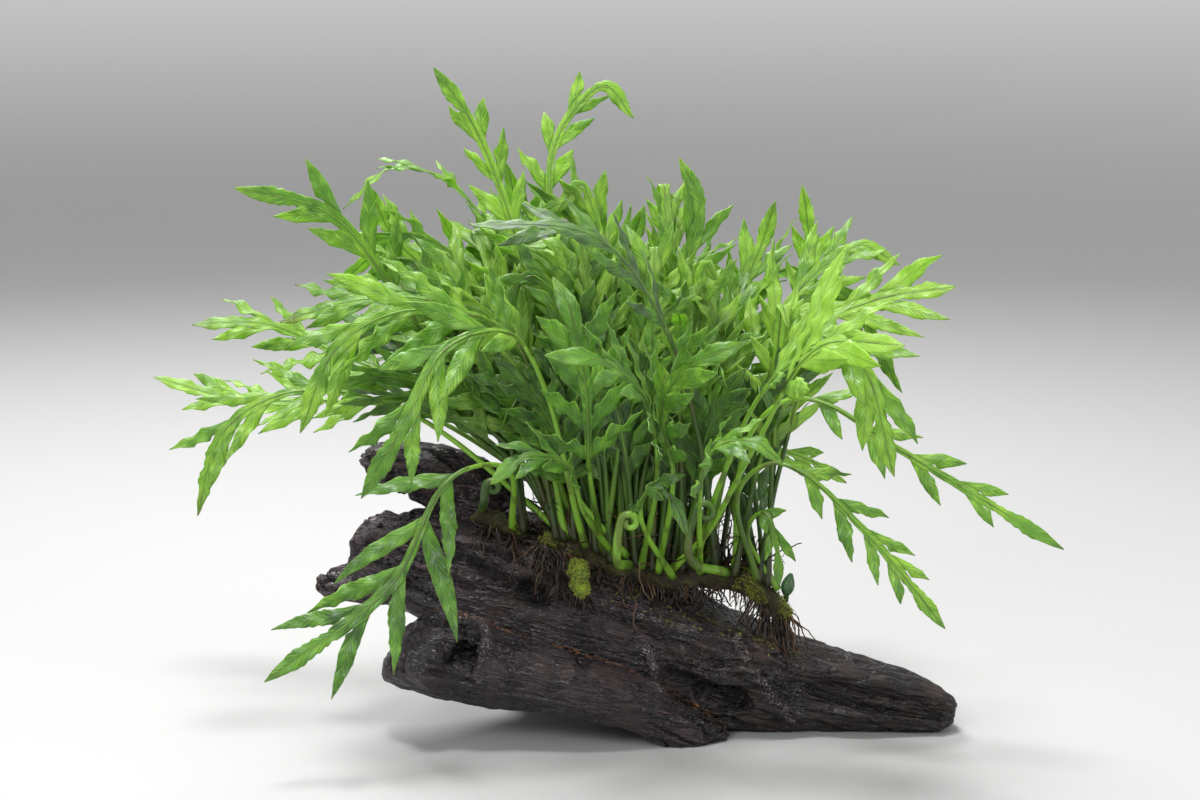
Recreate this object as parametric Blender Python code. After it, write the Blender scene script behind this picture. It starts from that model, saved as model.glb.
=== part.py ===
"""African water fern whose creeping stem has grown onto a piece of driftwood.

The tables are in millimetres, counted from the foot of the clump's middle, and the meshes are in
metres. X runs along the wood to the right, Y away from the viewer and Z up. The part's own origin
lies on the worn flat underside of the wood.
"""
import itertools
import math
import random

import bmesh
import bpy
from mathutils import Quaternion, Vector, noise
from mathutils.bvhtree import BVHTree

MM = 0.001
GAP = 0.3          # left between touching pieces
CLEARANCE = 0.5    # kept between neighbouring leaves
OWN_CLEARANCE = 0.2    # kept between the lobes of one leaf
WELD = 0.00001     # metres, joins vertices that a cut leaves side by side
ORIGIN = (34, 14, 0)    # the place in the tables that is the part's origin

# Driftwood. Each ring: x, centre z, height above it, depth below it, centre y, half depth.
TRUNK_RINGS = (
    (-99, 59, 6, 6, 5, 7),
    (-93, 59, 11, 12, 5, 13),
    (-82, 59, 14, 17, 5, 17),
    (-68, 57, 17, 24, 6, 22),
    (-52, 53, 21, 33, 7, 26),
    (-36, 48, 24, 38, 9, 30),
    (-20, 40, 25, 33, 11, 33),
    (-4, 35, 23, 32.5, 14, 35),
    (12, 30, 19.5, 33, 15, 36),
    (28, 26, 15.5, 30, 14, 35),
    (46, 22, 12.5, 26, 13, 33),
    (62, 18.5, 10.5, 21, 11, 30),
    (78, 15, 10, 16, 7, 25),
    (92, 12, 9, 13, 2, 19),
    (103, 9.5, 6.5, 10, -2, 14),
    (108, 8, 4, 5, -5, 7),
)
TRUNK_SIDES = 18
BACK_SLOPE = 0.15           # fall of the trunk's upper side towards the back, at its right end
BACK_SLOPE_FROM, BACK_SLOPE_FULL = 2, 40    # x where that fall begins and where it is full
# The forks: x, y, z of the ring centres and their half widths, along each branch.
HORN_RINGS = (
    (-50, 10, 72, 13, 15),
    (-60, 11, 82, 13, 13),
    (-71, 12, 86, 12, 10.5),
    (-82, 13, 88, 9, 8.5),
    (-90, 13, 90, 7, 6),
    (-96, 13, 92.5, 3, 2.5),
)
PRONG_RINGS = (
    (-84, 2, 53, 11, 11),
    (-93, -1, 51.5, 9, 8),
    (-101, -3, 51, 6.5, 6),
    (-107, -4, 51, 4, 4),
    (-110, -5, 51, 2, 2),
)
LOBE_RINGS = (
    (-87, 23.5, 3, 3, -14, 5),
    (-80, 27, 10, 8, -14, 13),
    (-69, 30, 14, 13, -16, 17),
    (-56, 28, 14, 13, -17, 18),
    (-40, 24, 13, 12, -17, 18),
    (-22, 20, 12, 9, -17, 18),
    (-6, 16, 10, 10, -16, 17),
    (8, 9, 9, 12, -14, 15),
    (20, 5, 6, 8, -13, 13),
    (29, 3, 3, 4, -13, 8),
)
LOBE_SIDES = 13
BRANCH_SIDES = 10
# A stub of the wood behind and under the slab, which carries the overhanging left end.
HEEL_RINGS = (
    (-30, 18, 26, 15, 15),
    (-35, 34, 18, 15, 14),
    (-40, 48, 9, 14, 12),
    (-42, 58, 4, 11, 8),
    (-43, 65, 3, 5, 4),
)
# Lumps and hollows: centre and half sizes.
KNOB = (-70, -31, 30, 10, 7, 9)
KNOB_HOLLOW = (-58, -36, 34, 5, 7, 9)
SIDE_HOLLOW = (27, -24, 14, 17, 12, 7)
RIDGE_DEPTH = 0.075            # share of the radius taken by the grain ridges
LIP_START, LIP_FULL = 38, 62   # x where the rolled lip of the tongue begins and is complete
LIP_DEPTH = 0.22               # share of the radius cut in under the lip

# Creeping stems: x, y, height of the underside above the wood, radius.
RHIZOMES = {
    "rhizome_main": ((-34, -13, 0, 3.0), (-21, -13, 0, 4.0), (-7, -12, 0, 4.2), (8, -11, 3.9, 4.0),
                     (22, -10, 10, 4.2), (35, -9, 12.8, 4.0), (44, -9, 11.5, 3.8),
                     (51, -9, 8.5, 2.4)),
    "rhizome_left": ((-57, -8, 0, 2.2), (-51, -10, 1, 3.0), (-45, -12, 0.5, 2.8),
                     (-39, -13, 0, 2.6)),
    "rhizome_back": ((-32, 3, 0, 3.4), (-18, 8, 0, 4.0), (-3, 12, 0.1, 4.2), (12, 13, 2.3, 4.0),
                     (27, 12, 6, 3.2)),
}
SKY = 300              # height from which the wood's top is looked for
# The stub of moss and the mats of roots on the front of the wood: x, y, z, radius.
CLINGING = {
    "moss_stub": ((-22, -20, 62, 2.2), (-20.5, -26.5, 60, 2.9), (-20, -29, 56.5, 2.8),
                  (-19.5, -29.5, 52.5, 1.8)),
    "root_mat_left": ((-42, -20, 61, 3), (-36, -24, 58, 6), (-28, -26, 55, 7.5), (-20, -26, 52, 7.5),
                      (-12, -24, 49, 5), (-6, -22, 48, 2.5)),
    "root_curtain_right": ((16, -14, 45, 3), (26, -13, 42, 6.5), (38, -12, 38, 7.5),
                           (48, -11, 33, 6.5), (56, -12, 30, 2.5)),
}
CLINGING_RINGS = 7

# Fronds. Root: creeping stem, share of its length, degrees that the stalk leaves it from straight
# up towards the viewer. Blade: share of the length where it starts, pairs of lobes, longest lobe,
# lobe width. Facing: 1 turns the blade to the viewer, 0 up. Route: rise, arch and tip.
FRONDS = {
    "left_front": (
        ("rhizome_left", 0.75, 50), (0.36, 4, 35, 6.5), 0.85,
        ((-44, -40, 98), (-62, -58, 97), (-79, -68, 66), (-119, -74, 36))),
    "near_right": (
        ("rhizome_main", 0.52, 35), (0.62, 3, 33, 8), 0.6,
        ((16, -26, 72), (30, -58, 108), (46, -92, 143), (72, -112, 147))),
    "dark_arch": (
        ("rhizome_main", 0.66, 30), (0.52, 4, 26, 6), 0.45,
        ((19, -28, 105), (6, -44, 147), (-16, -48, 174), (-55, -50, 178))),
    "left_c": (
        ("rhizome_main", 0.15, 40), (0.46, 4, 27, 7), 0.8,
        ((-38, -50, 140), (-60, -68, 142), (-74, -78, 118), (-87, -80, 96))),
    "left_b": (
        ("rhizome_main", 0.08, 20), (0.42, 4, 32, 7), 0.75,
        ((-40, -36, 138), (-70, -50, 151), (-95, -56, 141), (-108, -60, 113))),
    "front_mid_a": (
        ("rhizome_main", 0.22, 40), (0.38, 4, 29, 7), 0.7,
        ((-17, -48, 99), (-18, -70, 129), (-22, -80, 152), (-28, -76, 164))),
    "front_mid_b": (
        ("rhizome_main", 0.38, 40), (0.42, 4, 27, 7), 0.55,
        ((5, -44, 97), (0, -76, 126), (-13, -96, 141), (-30, -106, 144))),
    "front_mid_c": (
        ("rhizome_main", 0.45, 40), (0.42, 4, 27, 7), 0.6,
        ((10, -44, 95), (6, -70, 123), (14, -86, 138), (30, -92, 146))),
    "near_right_low": (
        ("rhizome_main", 0.6, 20), (0.52, 4, 27, 7), 0.7,
        ((26, -38, 94), (40, -64, 130), (62, -80, 142), (76, -86, 104))),
    "right_low_a": (
        ("rhizome_main", 0.73, 10), (0.44, 4, 17, 5.5), 0.65,
        ((35, -24, 104), (52, -34, 120), (84, -44, 104), (134, -58, 75))),
    "right_low_b": (
        ("rhizome_main", 0.8, 35), (0.46, 4, 17, 5.5), 0.65,
        ((32, -26, 87), (46, -32, 98), (72, -42, 78), (98, -50, 47))),
    "hang_right": (
        ("rhizome_main", 0.87, 10), (0.52, 2, 10, 4), 0.7,
        ((36, -14, 70), (41, -20, 79), (45, -25, 69), (46, -26, 55))),
    "front_low": (
        ("rhizome_main", 0.27, 50), (0.5, 3, 17, 6), 0.5,
        ((-19, -42, 84), (-24, -54, 101), (-37, -63, 106), (-48, -68, 98))),
    "front_low_right": (
        ("rhizome_main", 0.57, 55), (0.5, 3, 20, 6), 0.5,
        ((10, -42, 86), (12, -60, 105), (24, -72, 111), (38, -78, 106))),
    "hang_mid": (
        ("rhizome_main", 0.48, 60), (0.52, 2, 13, 5), 0.6,
        ((0, -40, 80), (2, -54, 94), (9, -60, 92), (14, -61, 80))),
    "middle_low_a": (
        ("rhizome_main", 0.3, 20), (0.36, 4, 22, 6), 0.7,
        ((-22, -20, 86), (-28, -30, 108), (-38, -36, 124), (-48, -38, 134))),
    "middle_low_b": (
        ("rhizome_main", 0.54, 5), (0.36, 4, 22, 6), 0.7,
        ((16, -16, 84), (18, -26, 104), (24, -34, 120), (32, -38, 130))),
    "left_brown_tip": (
        ("rhizome_main", 0.12, -10), (0.52, 4, 25, 6), 0.5,
        ((-42, -20, 128), (-66, -28, 150), (-91, -32, 152), (-117, -36, 145))),
    "left_top": (
        ("rhizome_main", 0.18, 0), (0.48, 4, 27, 6.5), 0.75,
        ((-58, -2, 119), (-81, -3, 149), (-103, -10, 178), (-134, -15, 187))),
    "left_far_droop": (
        ("rhizome_main", 0.05, -10), (0.46, 4, 26, 5.5), 0.6,
        ((-76, -8, 110), (-114, -12, 119), (-139, -16, 106), (-148, -20, 78))),
    "left_arch": (
        ("rhizome_main", 0.25, -20), (0.5, 4, 20, 6), 0.2,
        ((-42, 12, 143), (-59, 19, 181), (-83, 17, 192), (-101, 11, 178))),
    "top_left": (
        ("rhizome_main", 0.34, -10), (0.5, 5, 18, 6), 0.8,
        ((-28, 0, 112), (-42, 2, 170), (-55, 2, 205), (-69, 0, 226))),
    "top_right": (
        ("rhizome_main", 0.42, -25), (0.52, 5, 17, 6), 0.6,
        ((-18, 14, 128), (-31, 24, 190), (-14, 30, 219), (-2, 28, 208))),
    "mid_upright": (
        ("rhizome_main", 0.5, -15), (0.42, 4, 27, 6), 0.85,
        ((5, 4, 110), (11, 6, 146), (20, 6, 178), (13, 5, 196))),
    "right_upper": (
        ("rhizome_main", 0.64, -10), (0.52, 4, 30, 6.5), 0.55,
        ((31, -8, 98), (51, -12, 136), (77, -17, 150), (103, -22, 155))),
    "right_top": (
        ("rhizome_main", 0.56, -25), (0.5, 4, 27, 6.5), 0.65,
        ((28, 8, 105), (49, 17, 142), (74, 22, 164), (90, 20, 158))),
    "right_light": (
        ("rhizome_main", 0.78, -20), (0.45, 3, 15, 5), 0.5,
        ((32, 8, 82), (42, 16, 93), (56, 20, 91), (73, 22, 81))),
    "left_mid_a": (
        ("rhizome_back", 0.02, 10), (0.5, 4, 26, 6), 0.5,
        ((-78, 16, 115), (-109, 21, 129), (-130, 18, 138), (-154, 14, 138))),
    "left_mid_c": (
        ("rhizome_back", 0.1, -10), (0.5, 4, 26, 6), 0.4,
        ((-76, 32, 104), (-110, 42, 107), (-143, 46, 107), (-174, 46, 115))),
    "centre_left": (
        ("rhizome_back", 0.18, 15), (0.52, 4, 25, 6.5), 0.7,
        ((-50, 36, 118), (-71, 42, 150), (-87, 42, 166), (-95, 40, 184))),
    "centre_top_a": (
        ("rhizome_back", 0.5, 15), (0.42, 4, 25, 6.5), 0.8,
        ((-9, 24, 116), (-10, 28, 148), (-3, 30, 164), (2, 30, 178))),
    "centre_top_b": (
        ("rhizome_back", 0.3, 10), (0.42, 4, 25, 6.5), 0.8,
        ((-28, 36, 115), (-36, 44, 153), (-42, 47, 173), (-47, 46, 192))),
    "right_mid": (
        ("rhizome_back", 0.75, 10), (0.42, 4, 25, 6.5), 0.8,
        ((18, 28, 108), (36, 35, 147), (44, 38, 165), (48, 37, 179))),
    "lone_right": (
        ("rhizome_back", 0.88, 10), (0.56, 3, 18, 6), 0.7,
        ((43, 32, 101), (58, 42, 136), (61, 46, 161), (58, 44, 184))),
}
# Fronds behind the clump follow a rule. They fan out over the back, each with its own reach,
# height of the arch above the root, and drop from there to the tip.
BACK_COUNT = 10
BACK_HEADINGS = (18, 162)     # degrees from +X, first and last
BACK_SHARES = (0.97, 0.03)    # of the back stem's length, first and last
BACK_LEAN = -35
BACK_REACH = (58, 84)
BACK_ARCH = (66, 104)
BACK_DROP = (8, 40)
BACK_RISE = (0.22, 0.62)      # shares of the reach and of the arch at the first bend
BACK_CROWN = 0.58             # share of the reach at the top of the arch
BACK_START = 0.42
BACK_LOBE = (27, 6.5)
BACK_FACING = -0.5
BACK_SEED = 17
# Young fronds that are still coiled: root as above, rise and centre of the coil, coil radius.
FIDDLEHEADS = {
    "fiddlehead_right": (("rhizome_main", 0.69, 60), ((16, -30, 66), (21, -34, 82)), 3.4),
    "fiddlehead_mid": (("rhizome_main", 0.33, 65), ((-8, -34, 66), (-4, -40, 80)), 3.0),
    "fiddlehead_left": (("rhizome_left", 0.25, 30), ((-52, -24, 84), (-49, -27, 89)), 2.4),
}
COIL_TURNS = 7
COIL_START, COIL_STEP = -150, 62      # degrees
COIL_SHRINK, COIL_DRIFT = 0.1, 0.18   # share of the radius lost and sideways move at each step
COIL_THICK, COIL_TAPER = 1.35, 0.07
# The closed bud near the stem's end: root, then offset from it and radius at each ring.
BUD = (("rhizome_main", 0.93, -10), ((0, 0, 0, 1.3), (0.6, 0, 3.5, 2.2), (1.6, 0, 7.5, 0.9)))

STALK_RADIUS = 1.45
STALK_TOP_RADIUS = 0.85
STALK_STATIONS = 4
WING = 2.3            # half width of the green edge along the midrib
WING_LOBE = 26        # lobe length below which a frond's edge is narrower in proportion
LOBE_SLIM = 0.21      # a lobe's half width is at most this share of its reach
LOBE_FOOT = 6.5       # length of the midrib that one lobe leaves
FOOT_MOST = 0.68      # most that it may be, as a share of the way from one pair to the next
FOOT_BELOW = 0.45     # share of it that lies below the lobe's root
MIDRIB = 0.62         # half thickness of the blade at its midrib
LOBE_MIDDLE = 0.42    # half thickness in the middle of a lobe
LOBE_KNEE = 0.52      # share of a lobe's length before it turns towards the frond's tip
LOBE_TURN, LOBE_KEEP = 0.35, 0.8    # how far it turns there, and how far it keeps its way
LOBE_WIDEST = 0.56    # share of the length where a lobe is widest
FREE_OF_FOOT = 0.35   # share of the length from which it stands free of its neighbours
LOBE_FADE = 0.36      # share of the length that the last pair has lost
LOBE_OPENING, LOBE_CLOSING = 47, 13    # degrees from the midrib: first pair, lost by the last
END_LOBE = 0.5        # share of the end lobe's length where it is widest
TWIST = 14            # degrees a blade may turn about its midrib
STEM_LUMPS = 0.16     # share of a creeping stem's radius
STEM_SIDES = 7

# What is tried, the smallest change first, until a frond stands clear of all that is there:
# its foot along the stem (share) and around it (degrees), its route in rings of moves to the side,
# and for each lobe a lift out of the blade's plane (degrees) and a share of its length.
FOOT_SHIFTS = ((0, 0), (0.02, 0), (-0.02, 0), (0, 14), (0, -14), (0.02, 14), (-0.02, -14), (0.04, 0),
               (-0.04, 0), (0.04, 24), (-0.04, -24))
NUDGE_RINGS = (0, 3, 6, 9, 12, 16, 22, 30)
NUDGE_WAYS = 8
NUDGE_RISE = 0.25     # share of the move that goes up as well
TIP_NUDGE = 0.5       # share of the move that the tip takes part in
LOBE_LIFTS = (0, 12, -12, 24, -24, 38, -38, 55, -55)
LOBE_SCALES = (1.0, 0.85, 0.7, 0.5, 0.36)
SHORT_WIDTH, SHORT_GAIN = 0.35, 0.75    # a shortened lobe's width: the first, and scale times the second

COLOURS = {
    "wood": ((0.035, 0.024, 0.021), 0.38),
    "stem": ((0.10, 0.16, 0.03), 0.6),
    "roots": ((0.05, 0.03, 0.015), 0.8),
    "leaf": ((0.12, 0.32, 0.02), 0.42),
    "young": ((0.16, 0.36, 0.04), 0.4),
}


def material(name):
    """A plain finish for one kind of surface."""
    found = bpy.data.materials.get(name)
    if found:
        return found
    made = bpy.data.materials.new(name)
    made.use_nodes = True
    shader = made.node_tree.nodes["Principled BSDF"]
    colour, roughness = COLOURS[name]
    shader.inputs["Base Color"].default_value = (*colour, 1)
    shader.inputs["Roughness"].default_value = roughness
    shader.inputs["Metallic"].default_value = 0
    return made


def add_object(name, mesh_data, finish):
    """Turn a bmesh in the tables' millimetres into a named object in metres."""
    bmesh.ops.recalc_face_normals(mesh_data, faces=mesh_data.faces)
    bmesh.ops.triangulate(mesh_data, faces=mesh_data.faces)
    bmesh.ops.translate(mesh_data, vec=-Vector(ORIGIN), verts=mesh_data.verts)
    bmesh.ops.scale(mesh_data, vec=(MM, MM, MM), verts=mesh_data.verts)
    mesh = bpy.data.meshes.new(name)
    mesh_data.to_mesh(mesh)
    mesh_data.free()
    mesh.materials.append(material(finish))
    made = bpy.data.objects.new(name, mesh)
    bpy.context.scene.collection.objects.link(made)
    return made


def skin(rings):
    """Closed bmesh through rings of equal count, with a fan over each end."""
    body = bmesh.new()
    loops = [[body.verts.new(point) for point in ring] for ring in rings]
    count = len(loops[0])
    for here, after in zip(loops, loops[1:]):
        for side in range(count):
            beside = (side + 1) % count
            body.faces.new((here[side], here[beside], after[beside], after[side]))
    for loop in (loops[0], loops[-1]):
        middle = body.verts.new(sum((vert.co for vert in loop), Vector()) / count)
        for side in range(count):
            body.faces.new((loop[side], loop[(side + 1) % count], middle))
    return body


def squared(value, power=0.74):
    """Push a sine or cosine outwards, for a section between a round and a box."""
    return math.copysign(abs(value) ** power, value)


def grain(angle, along, seed):
    """Ridges that run along the wood, with slow lumps: about -1 to 1."""
    ridges = 0.55 * math.sin(4 * angle + along / 34 + seed) + 0.45 * math.sin(7 * angle - along / 21)
    lumps = noise.noise(Vector((along / 17 + seed, 1.7 * math.cos(angle), 1.7 * math.sin(angle))))
    return 0.6 * ridges + 1.3 * lumps


def slab_rings(table, sides, seed, lip_depth=0.0, back_slope=0.0):
    """Sections of a slab that lies along X, squared off and ridged, flat where it meets the floor."""
    rings = []
    for x, z, above, below, y, half in table:
        ring = []
        lip = min(1.0, max(0.0, (x - LIP_START) / (LIP_FULL - LIP_START))) * lip_depth
        fall = (x - BACK_SLOPE_FROM) / (BACK_SLOPE_FULL - BACK_SLOPE_FROM)
        fall = min(1.0, max(0.0, fall)) * back_slope
        for side in range(sides):
            angle = math.tau * side / sides
            swell = 1 + RIDGE_DEPTH * grain(angle, x, seed)
            if side == sides // 2:
                swell -= lip
            across = squared(math.cos(angle)) * half * swell
            height = squared(math.sin(angle)) * (above if math.sin(angle) > 0 else below) * swell
            if height > 0:
                height = max(0.0, height - fall * (across + half))
            ring.append(Vector((x, y + across, max(0.0, z + height))))
        rings.append(ring)
    return rings


def branch_rings(table, sides, seed):
    """Sections of a branch, square to the line through its ring centres."""
    centres = [Vector(row[:3]) for row in table]
    rings = []
    for index, (x, y, z, wide, high) in enumerate(table):
        ahead = centres[min(index + 1, len(table) - 1)] - centres[max(index - 1, 0)]
        ahead.normalize()
        across = ahead.cross(Vector((0, 0, 1))).normalized()
        upright = across.cross(ahead)
        ring = []
        for side in range(sides):
            angle = math.tau * side / sides
            swell = 1 + 1.5 * RIDGE_DEPTH * grain(angle, x + y, seed)
            offset = across * (math.cos(angle) * wide * swell) + upright * (math.sin(angle) * high * swell)
            point = centres[index] + offset
            ring.append(Vector((point.x, point.y, max(0.0, point.z))))
        rings.append(ring)
    return rings


def egg(name, box):
    """An egg that is only used to hollow out or to swell the wood."""
    x, y, z, half_x, half_y, half_z = box
    body = bmesh.new()
    bmesh.ops.create_icosphere(body, subdivisions=1, radius=1.0)
    for vert in body.verts:
        vert.co = Vector((x + vert.co.x * half_x, y + vert.co.y * half_y, z + vert.co.z * half_z))
    made = add_object(name, body, "wood")
    made.hide_render = True
    made.display_type = "WIRE"
    return made


def swollen(source, amount):
    """A hidden copy of a solid whose skin stands a little further out."""
    body = bmesh.new()
    body.from_mesh(source.data)
    body.normal_update()
    moves = [(vert, vert.normal.copy()) for vert in body.verts]
    for vert, normal in moves:
        vert.co += normal * amount * MM
    mesh = bpy.data.meshes.new(source.name + "_swollen")
    body.to_mesh(mesh)
    body.free()
    made = bpy.data.objects.new(source.name + "_swollen", mesh)
    bpy.context.scene.collection.objects.link(made)
    made.hide_render = True
    made.display_type = "WIRE"
    return made


def apply_boolean(target, tool, operation):
    """Cut or join with the exact solver and keep the largest body."""
    change = target.modifiers.new("change", "BOOLEAN")
    change.operation = operation
    change.solver = "EXACT"
    change.object = tool
    bpy.context.view_layer.update()
    evaluated = target.evaluated_get(bpy.context.evaluated_depsgraph_get())
    body = bmesh.new()
    body.from_mesh(evaluated.to_mesh())
    evaluated.to_mesh_clear()
    target.modifiers.remove(change)
    bmesh.ops.remove_doubles(body, verts=body.verts, dist=WELD)
    bmesh.ops.dissolve_degenerate(body, dist=WELD, edges=body.edges)
    bmesh.ops.triangulate(body, faces=body.faces)
    drop_small_bodies(body)
    body.to_mesh(target.data)
    body.free()


def drop_small_bodies(body):
    """Keep only the linked set of vertices that has the most faces."""
    waiting = set(body.verts)
    bodies = []
    while waiting:
        start = waiting.pop()
        group = {start}
        front = [start]
        while front:
            vert = front.pop()
            for edge in vert.link_edges:
                other = edge.other_vert(vert)
                if other in waiting:
                    waiting.discard(other)
                    group.add(other)
                    front.append(other)
        bodies.append(group)
    bodies.sort(key=len)
    spare = [vert for group in bodies[:-1] for vert in group]
    bmesh.ops.delete(body, geom=spare, context="VERTS")


def remove(objects):
    """Take helper objects out again."""
    for spare in objects:
        bpy.data.objects.remove(spare)


def clear_of(target, neighbours):
    """Trim a piece back so that it stays the usual gap away from its neighbours."""
    for neighbour in neighbours:
        shell = swollen(neighbour, 1.5 * GAP)
        apply_boolean(target, shell, "DIFFERENCE")
        remove([shell])


def make_driftwood():
    """The slab with its hollow, and the branches that leave it at the forks."""
    slab = skin(slab_rings(TRUNK_RINGS, TRUNK_SIDES, 1.0, LIP_DEPTH, BACK_SLOPE))
    trunk = add_object("driftwood_trunk", slab, "wood")
    heel = add_object("heel", skin(branch_rings(HEEL_RINGS, BRANCH_SIDES, 5.0)), "wood")
    side_hollow = egg("side_hollow", SIDE_HOLLOW)
    apply_boolean(trunk, heel, "UNION")
    apply_boolean(trunk, side_hollow, "DIFFERENCE")
    horn = add_object("driftwood_upper_horn", skin(branch_rings(HORN_RINGS, BRANCH_SIDES, 2.0)), "wood")
    prong = add_object("driftwood_left_prong", skin(branch_rings(PRONG_RINGS, BRANCH_SIDES, 3.0)), "wood")
    lobe = add_object("driftwood_lower_lobe", skin(slab_rings(LOBE_RINGS, LOBE_SIDES, 4.0)), "wood")
    knob = egg("knob", KNOB)
    knob_hollow = egg("knob_hollow", KNOB_HOLLOW)
    apply_boolean(lobe, knob, "UNION")
    apply_boolean(lobe, knob_hollow, "DIFFERENCE")
    for branch in (horn, prong, lobe):
        clear_of(branch, [trunk])
    clear_of(prong, [lobe])
    remove([heel, side_hollow, knob, knob_hollow])
    return [trunk, horn, prong, lobe]


class Route:
    """A smooth curve through hand-set points, read by the share of its length."""

    def __init__(self, points, steps=14):
        points = [Vector(point) for point in points]
        tangents = []
        for index in range(len(points)):
            before = points[max(index - 1, 0)]
            after = points[min(index + 1, len(points) - 1)]
            tangents.append((after - before).normalized())
        self.line = []
        for index in range(len(points) - 1):
            start, end = points[index], points[index + 1]
            reach = (end - start).length
            for step in range(steps):
                share = step / steps
                square, cube = share ** 2, share ** 3
                self.line.append(start * (2 * cube - 3 * square + 1) + end * (3 * square - 2 * cube)
                                 + tangents[index] * reach * (cube - 2 * square + share)
                                 + tangents[index + 1] * reach * (cube - square))
        self.line.append(points[-1])
        self.marks = [0.0]
        for start, end in zip(self.line, self.line[1:]):
            self.marks.append(self.marks[-1] + (end - start).length)
        self.length = self.marks[-1]

    def at(self, share):
        """The point at a share of the length."""
        goal = min(max(share, 0.0), 1.0) * self.length
        index = 0
        while index < len(self.marks) - 2 and self.marks[index + 1] < goal:
            index += 1
        span = self.marks[index + 1] - self.marks[index]
        return self.line[index].lerp(self.line[index + 1], (goal - self.marks[index]) / span)

    def ahead(self, share):
        """The direction of the curve there."""
        return (self.at(share + 0.02) - self.at(share - 0.02)).normalized()


class Frond:
    """One stalk with its lobed blade: where everything on it lies, before any mesh is made."""

    def __init__(self, name, root, points, blade, facing, seed):
        self.name = name
        self.route = Route([root] + list(points))
        self.start, self.pairs, self.lobe_length, self.lobe_width = blade
        self.chance = random.Random(seed)
        middle = 0.5 * (self.start + 1)
        side = -1 if facing >= 0 else 1
        hint = Vector((0, side * abs(facing), 1 - abs(facing))).normalized()
        twist = Quaternion(self.route.ahead(middle), math.radians(self.chance.uniform(-TWIST, TWIST)))
        self.middle = middle
        self.wing = WING * min(1.0, self.lobe_length / WING_LOBE)
        self.face = twist @ self.square_to(hint, self.route.ahead(middle))
        self.spacing = (1 - self.start) / (self.pairs + 1.3)
        self.stations = [self.start + self.spacing * (pair + 0.4) for pair in range(self.pairs)]
        self.lobes = {}
        for pair in range(self.pairs):
            for side in (-1, 1):
                self.lobes[pair, side] = self.plan_lobe(pair)

    @staticmethod
    def square_to(direction, along):
        return (direction - along * direction.dot(along)).normalized()

    def normal(self, share):
        """The way the upper side faces, carried along the curve without twisting."""
        facing = self.face
        steps = max(1, int(abs(share - self.middle) / 0.04))
        before = self.route.ahead(self.middle)
        for step in range(1, steps + 1):
            along = self.route.ahead(self.middle + (share - self.middle) * step / steps)
            facing = before.rotation_difference(along) @ facing
            before = along
        return self.square_to(facing, before)

    def plan_lobe(self, pair):
        """Length, width, opening angle and offset of one lobe, longest at the second pair."""
        fade = 1 - LOBE_FADE * max(0, pair - 1) / max(1, self.pairs - 1)
        grow = 0.82 if pair == 0 else 1.0
        length = self.lobe_length * fade * grow * self.chance.uniform(0.85, 1.12)
        width = self.lobe_width * self.chance.uniform(0.88, 1.12)
        opening = LOBE_OPENING - LOBE_CLOSING * pair / max(1, self.pairs - 1) + self.chance.uniform(-6, 6)
        return {
            "length": length,
            "width": width,
            "angle": math.radians(opening),
            "droop": self.chance.uniform(0.02, 0.22),
            "shift": self.chance.uniform(-0.12, 0.12) * self.spacing,
        }

    def lobe_route(self, pair, side, lift, scale):
        """Root, knee and tip of a lobe, and the way its upper side faces."""
        lobe = self.lobes[pair, side]
        share = self.stations[pair] + lobe["shift"]
        root = self.route.at(share)
        along = self.route.ahead(share)
        normal = self.normal(share)
        out = normal.cross(along) * side
        tilt = Quaternion(along, math.radians(lift) * side)
        out = tilt @ out
        normal = tilt @ normal
        reach = lobe["length"] * scale
        away = along * math.cos(lobe["angle"]) + out * math.sin(lobe["angle"])
        knee = root + away * reach * LOBE_KNEE
        onward = (away * LOBE_KEEP + along * LOBE_TURN - Vector((0, 0, lobe["droop"]))).normalized()
        tip = knee + onward * reach * (1 - LOBE_KNEE)
        return root, knee, tip, normal

    def end_start(self):
        """The share of the length where the end lobe begins."""
        return self.stations[-1] + 0.5 * self.spacing

    def axils(self, pair, side):
        """The points on the green edge just below and just above a lobe."""
        foot = min(LOBE_FOOT / self.route.length, FOOT_MOST * self.spacing)
        root = self.stations[pair] + self.lobes[pair, side]["shift"]
        points = []
        for share in (root - FOOT_BELOW * foot, root + (1 - FOOT_BELOW) * foot):
            across = self.normal(share).cross(self.route.ahead(share))
            points.append(self.route.at(share) + across * side * self.wing)
        return points


def bend(root, knee, tip, share):
    """A point on the curve that leaves root towards knee and ends at tip."""
    return root * (1 - share) ** 2 + knee * 2 * share * (1 - share) + tip * share ** 2


def lobe_points(frond, pair, side, lift, scale, extra=0.0):
    """Outline and middle of one coarse lobe: two edges, tip, and the middle above and below."""
    root, knee, tip, normal = frond.lobe_route(pair, side, lift, scale)
    middle = bend(root, knee, tip, LOBE_WIDEST)
    along = (tip - bend(root, knee, tip, 0.2)).normalized()
    across = normal.cross(along).normalized() * side
    face = along.cross(across).normalized() * side
    slim = LOBE_SLIM * frond.lobes[pair, side]["length"] * scale
    width = frond.lobes[pair, side]["width"] * min(1.0, SHORT_WIDTH + SHORT_GAIN * scale)
    half = min(0.5 * width, slim) + extra
    thick = LOBE_MIDDLE + extra
    return {
        "lower": middle + across * half,
        "upper": middle - across * half,
        "tip": tip + along * extra,
        "top": middle + face * thick,
        "under": middle - face * thick,
    }


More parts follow.
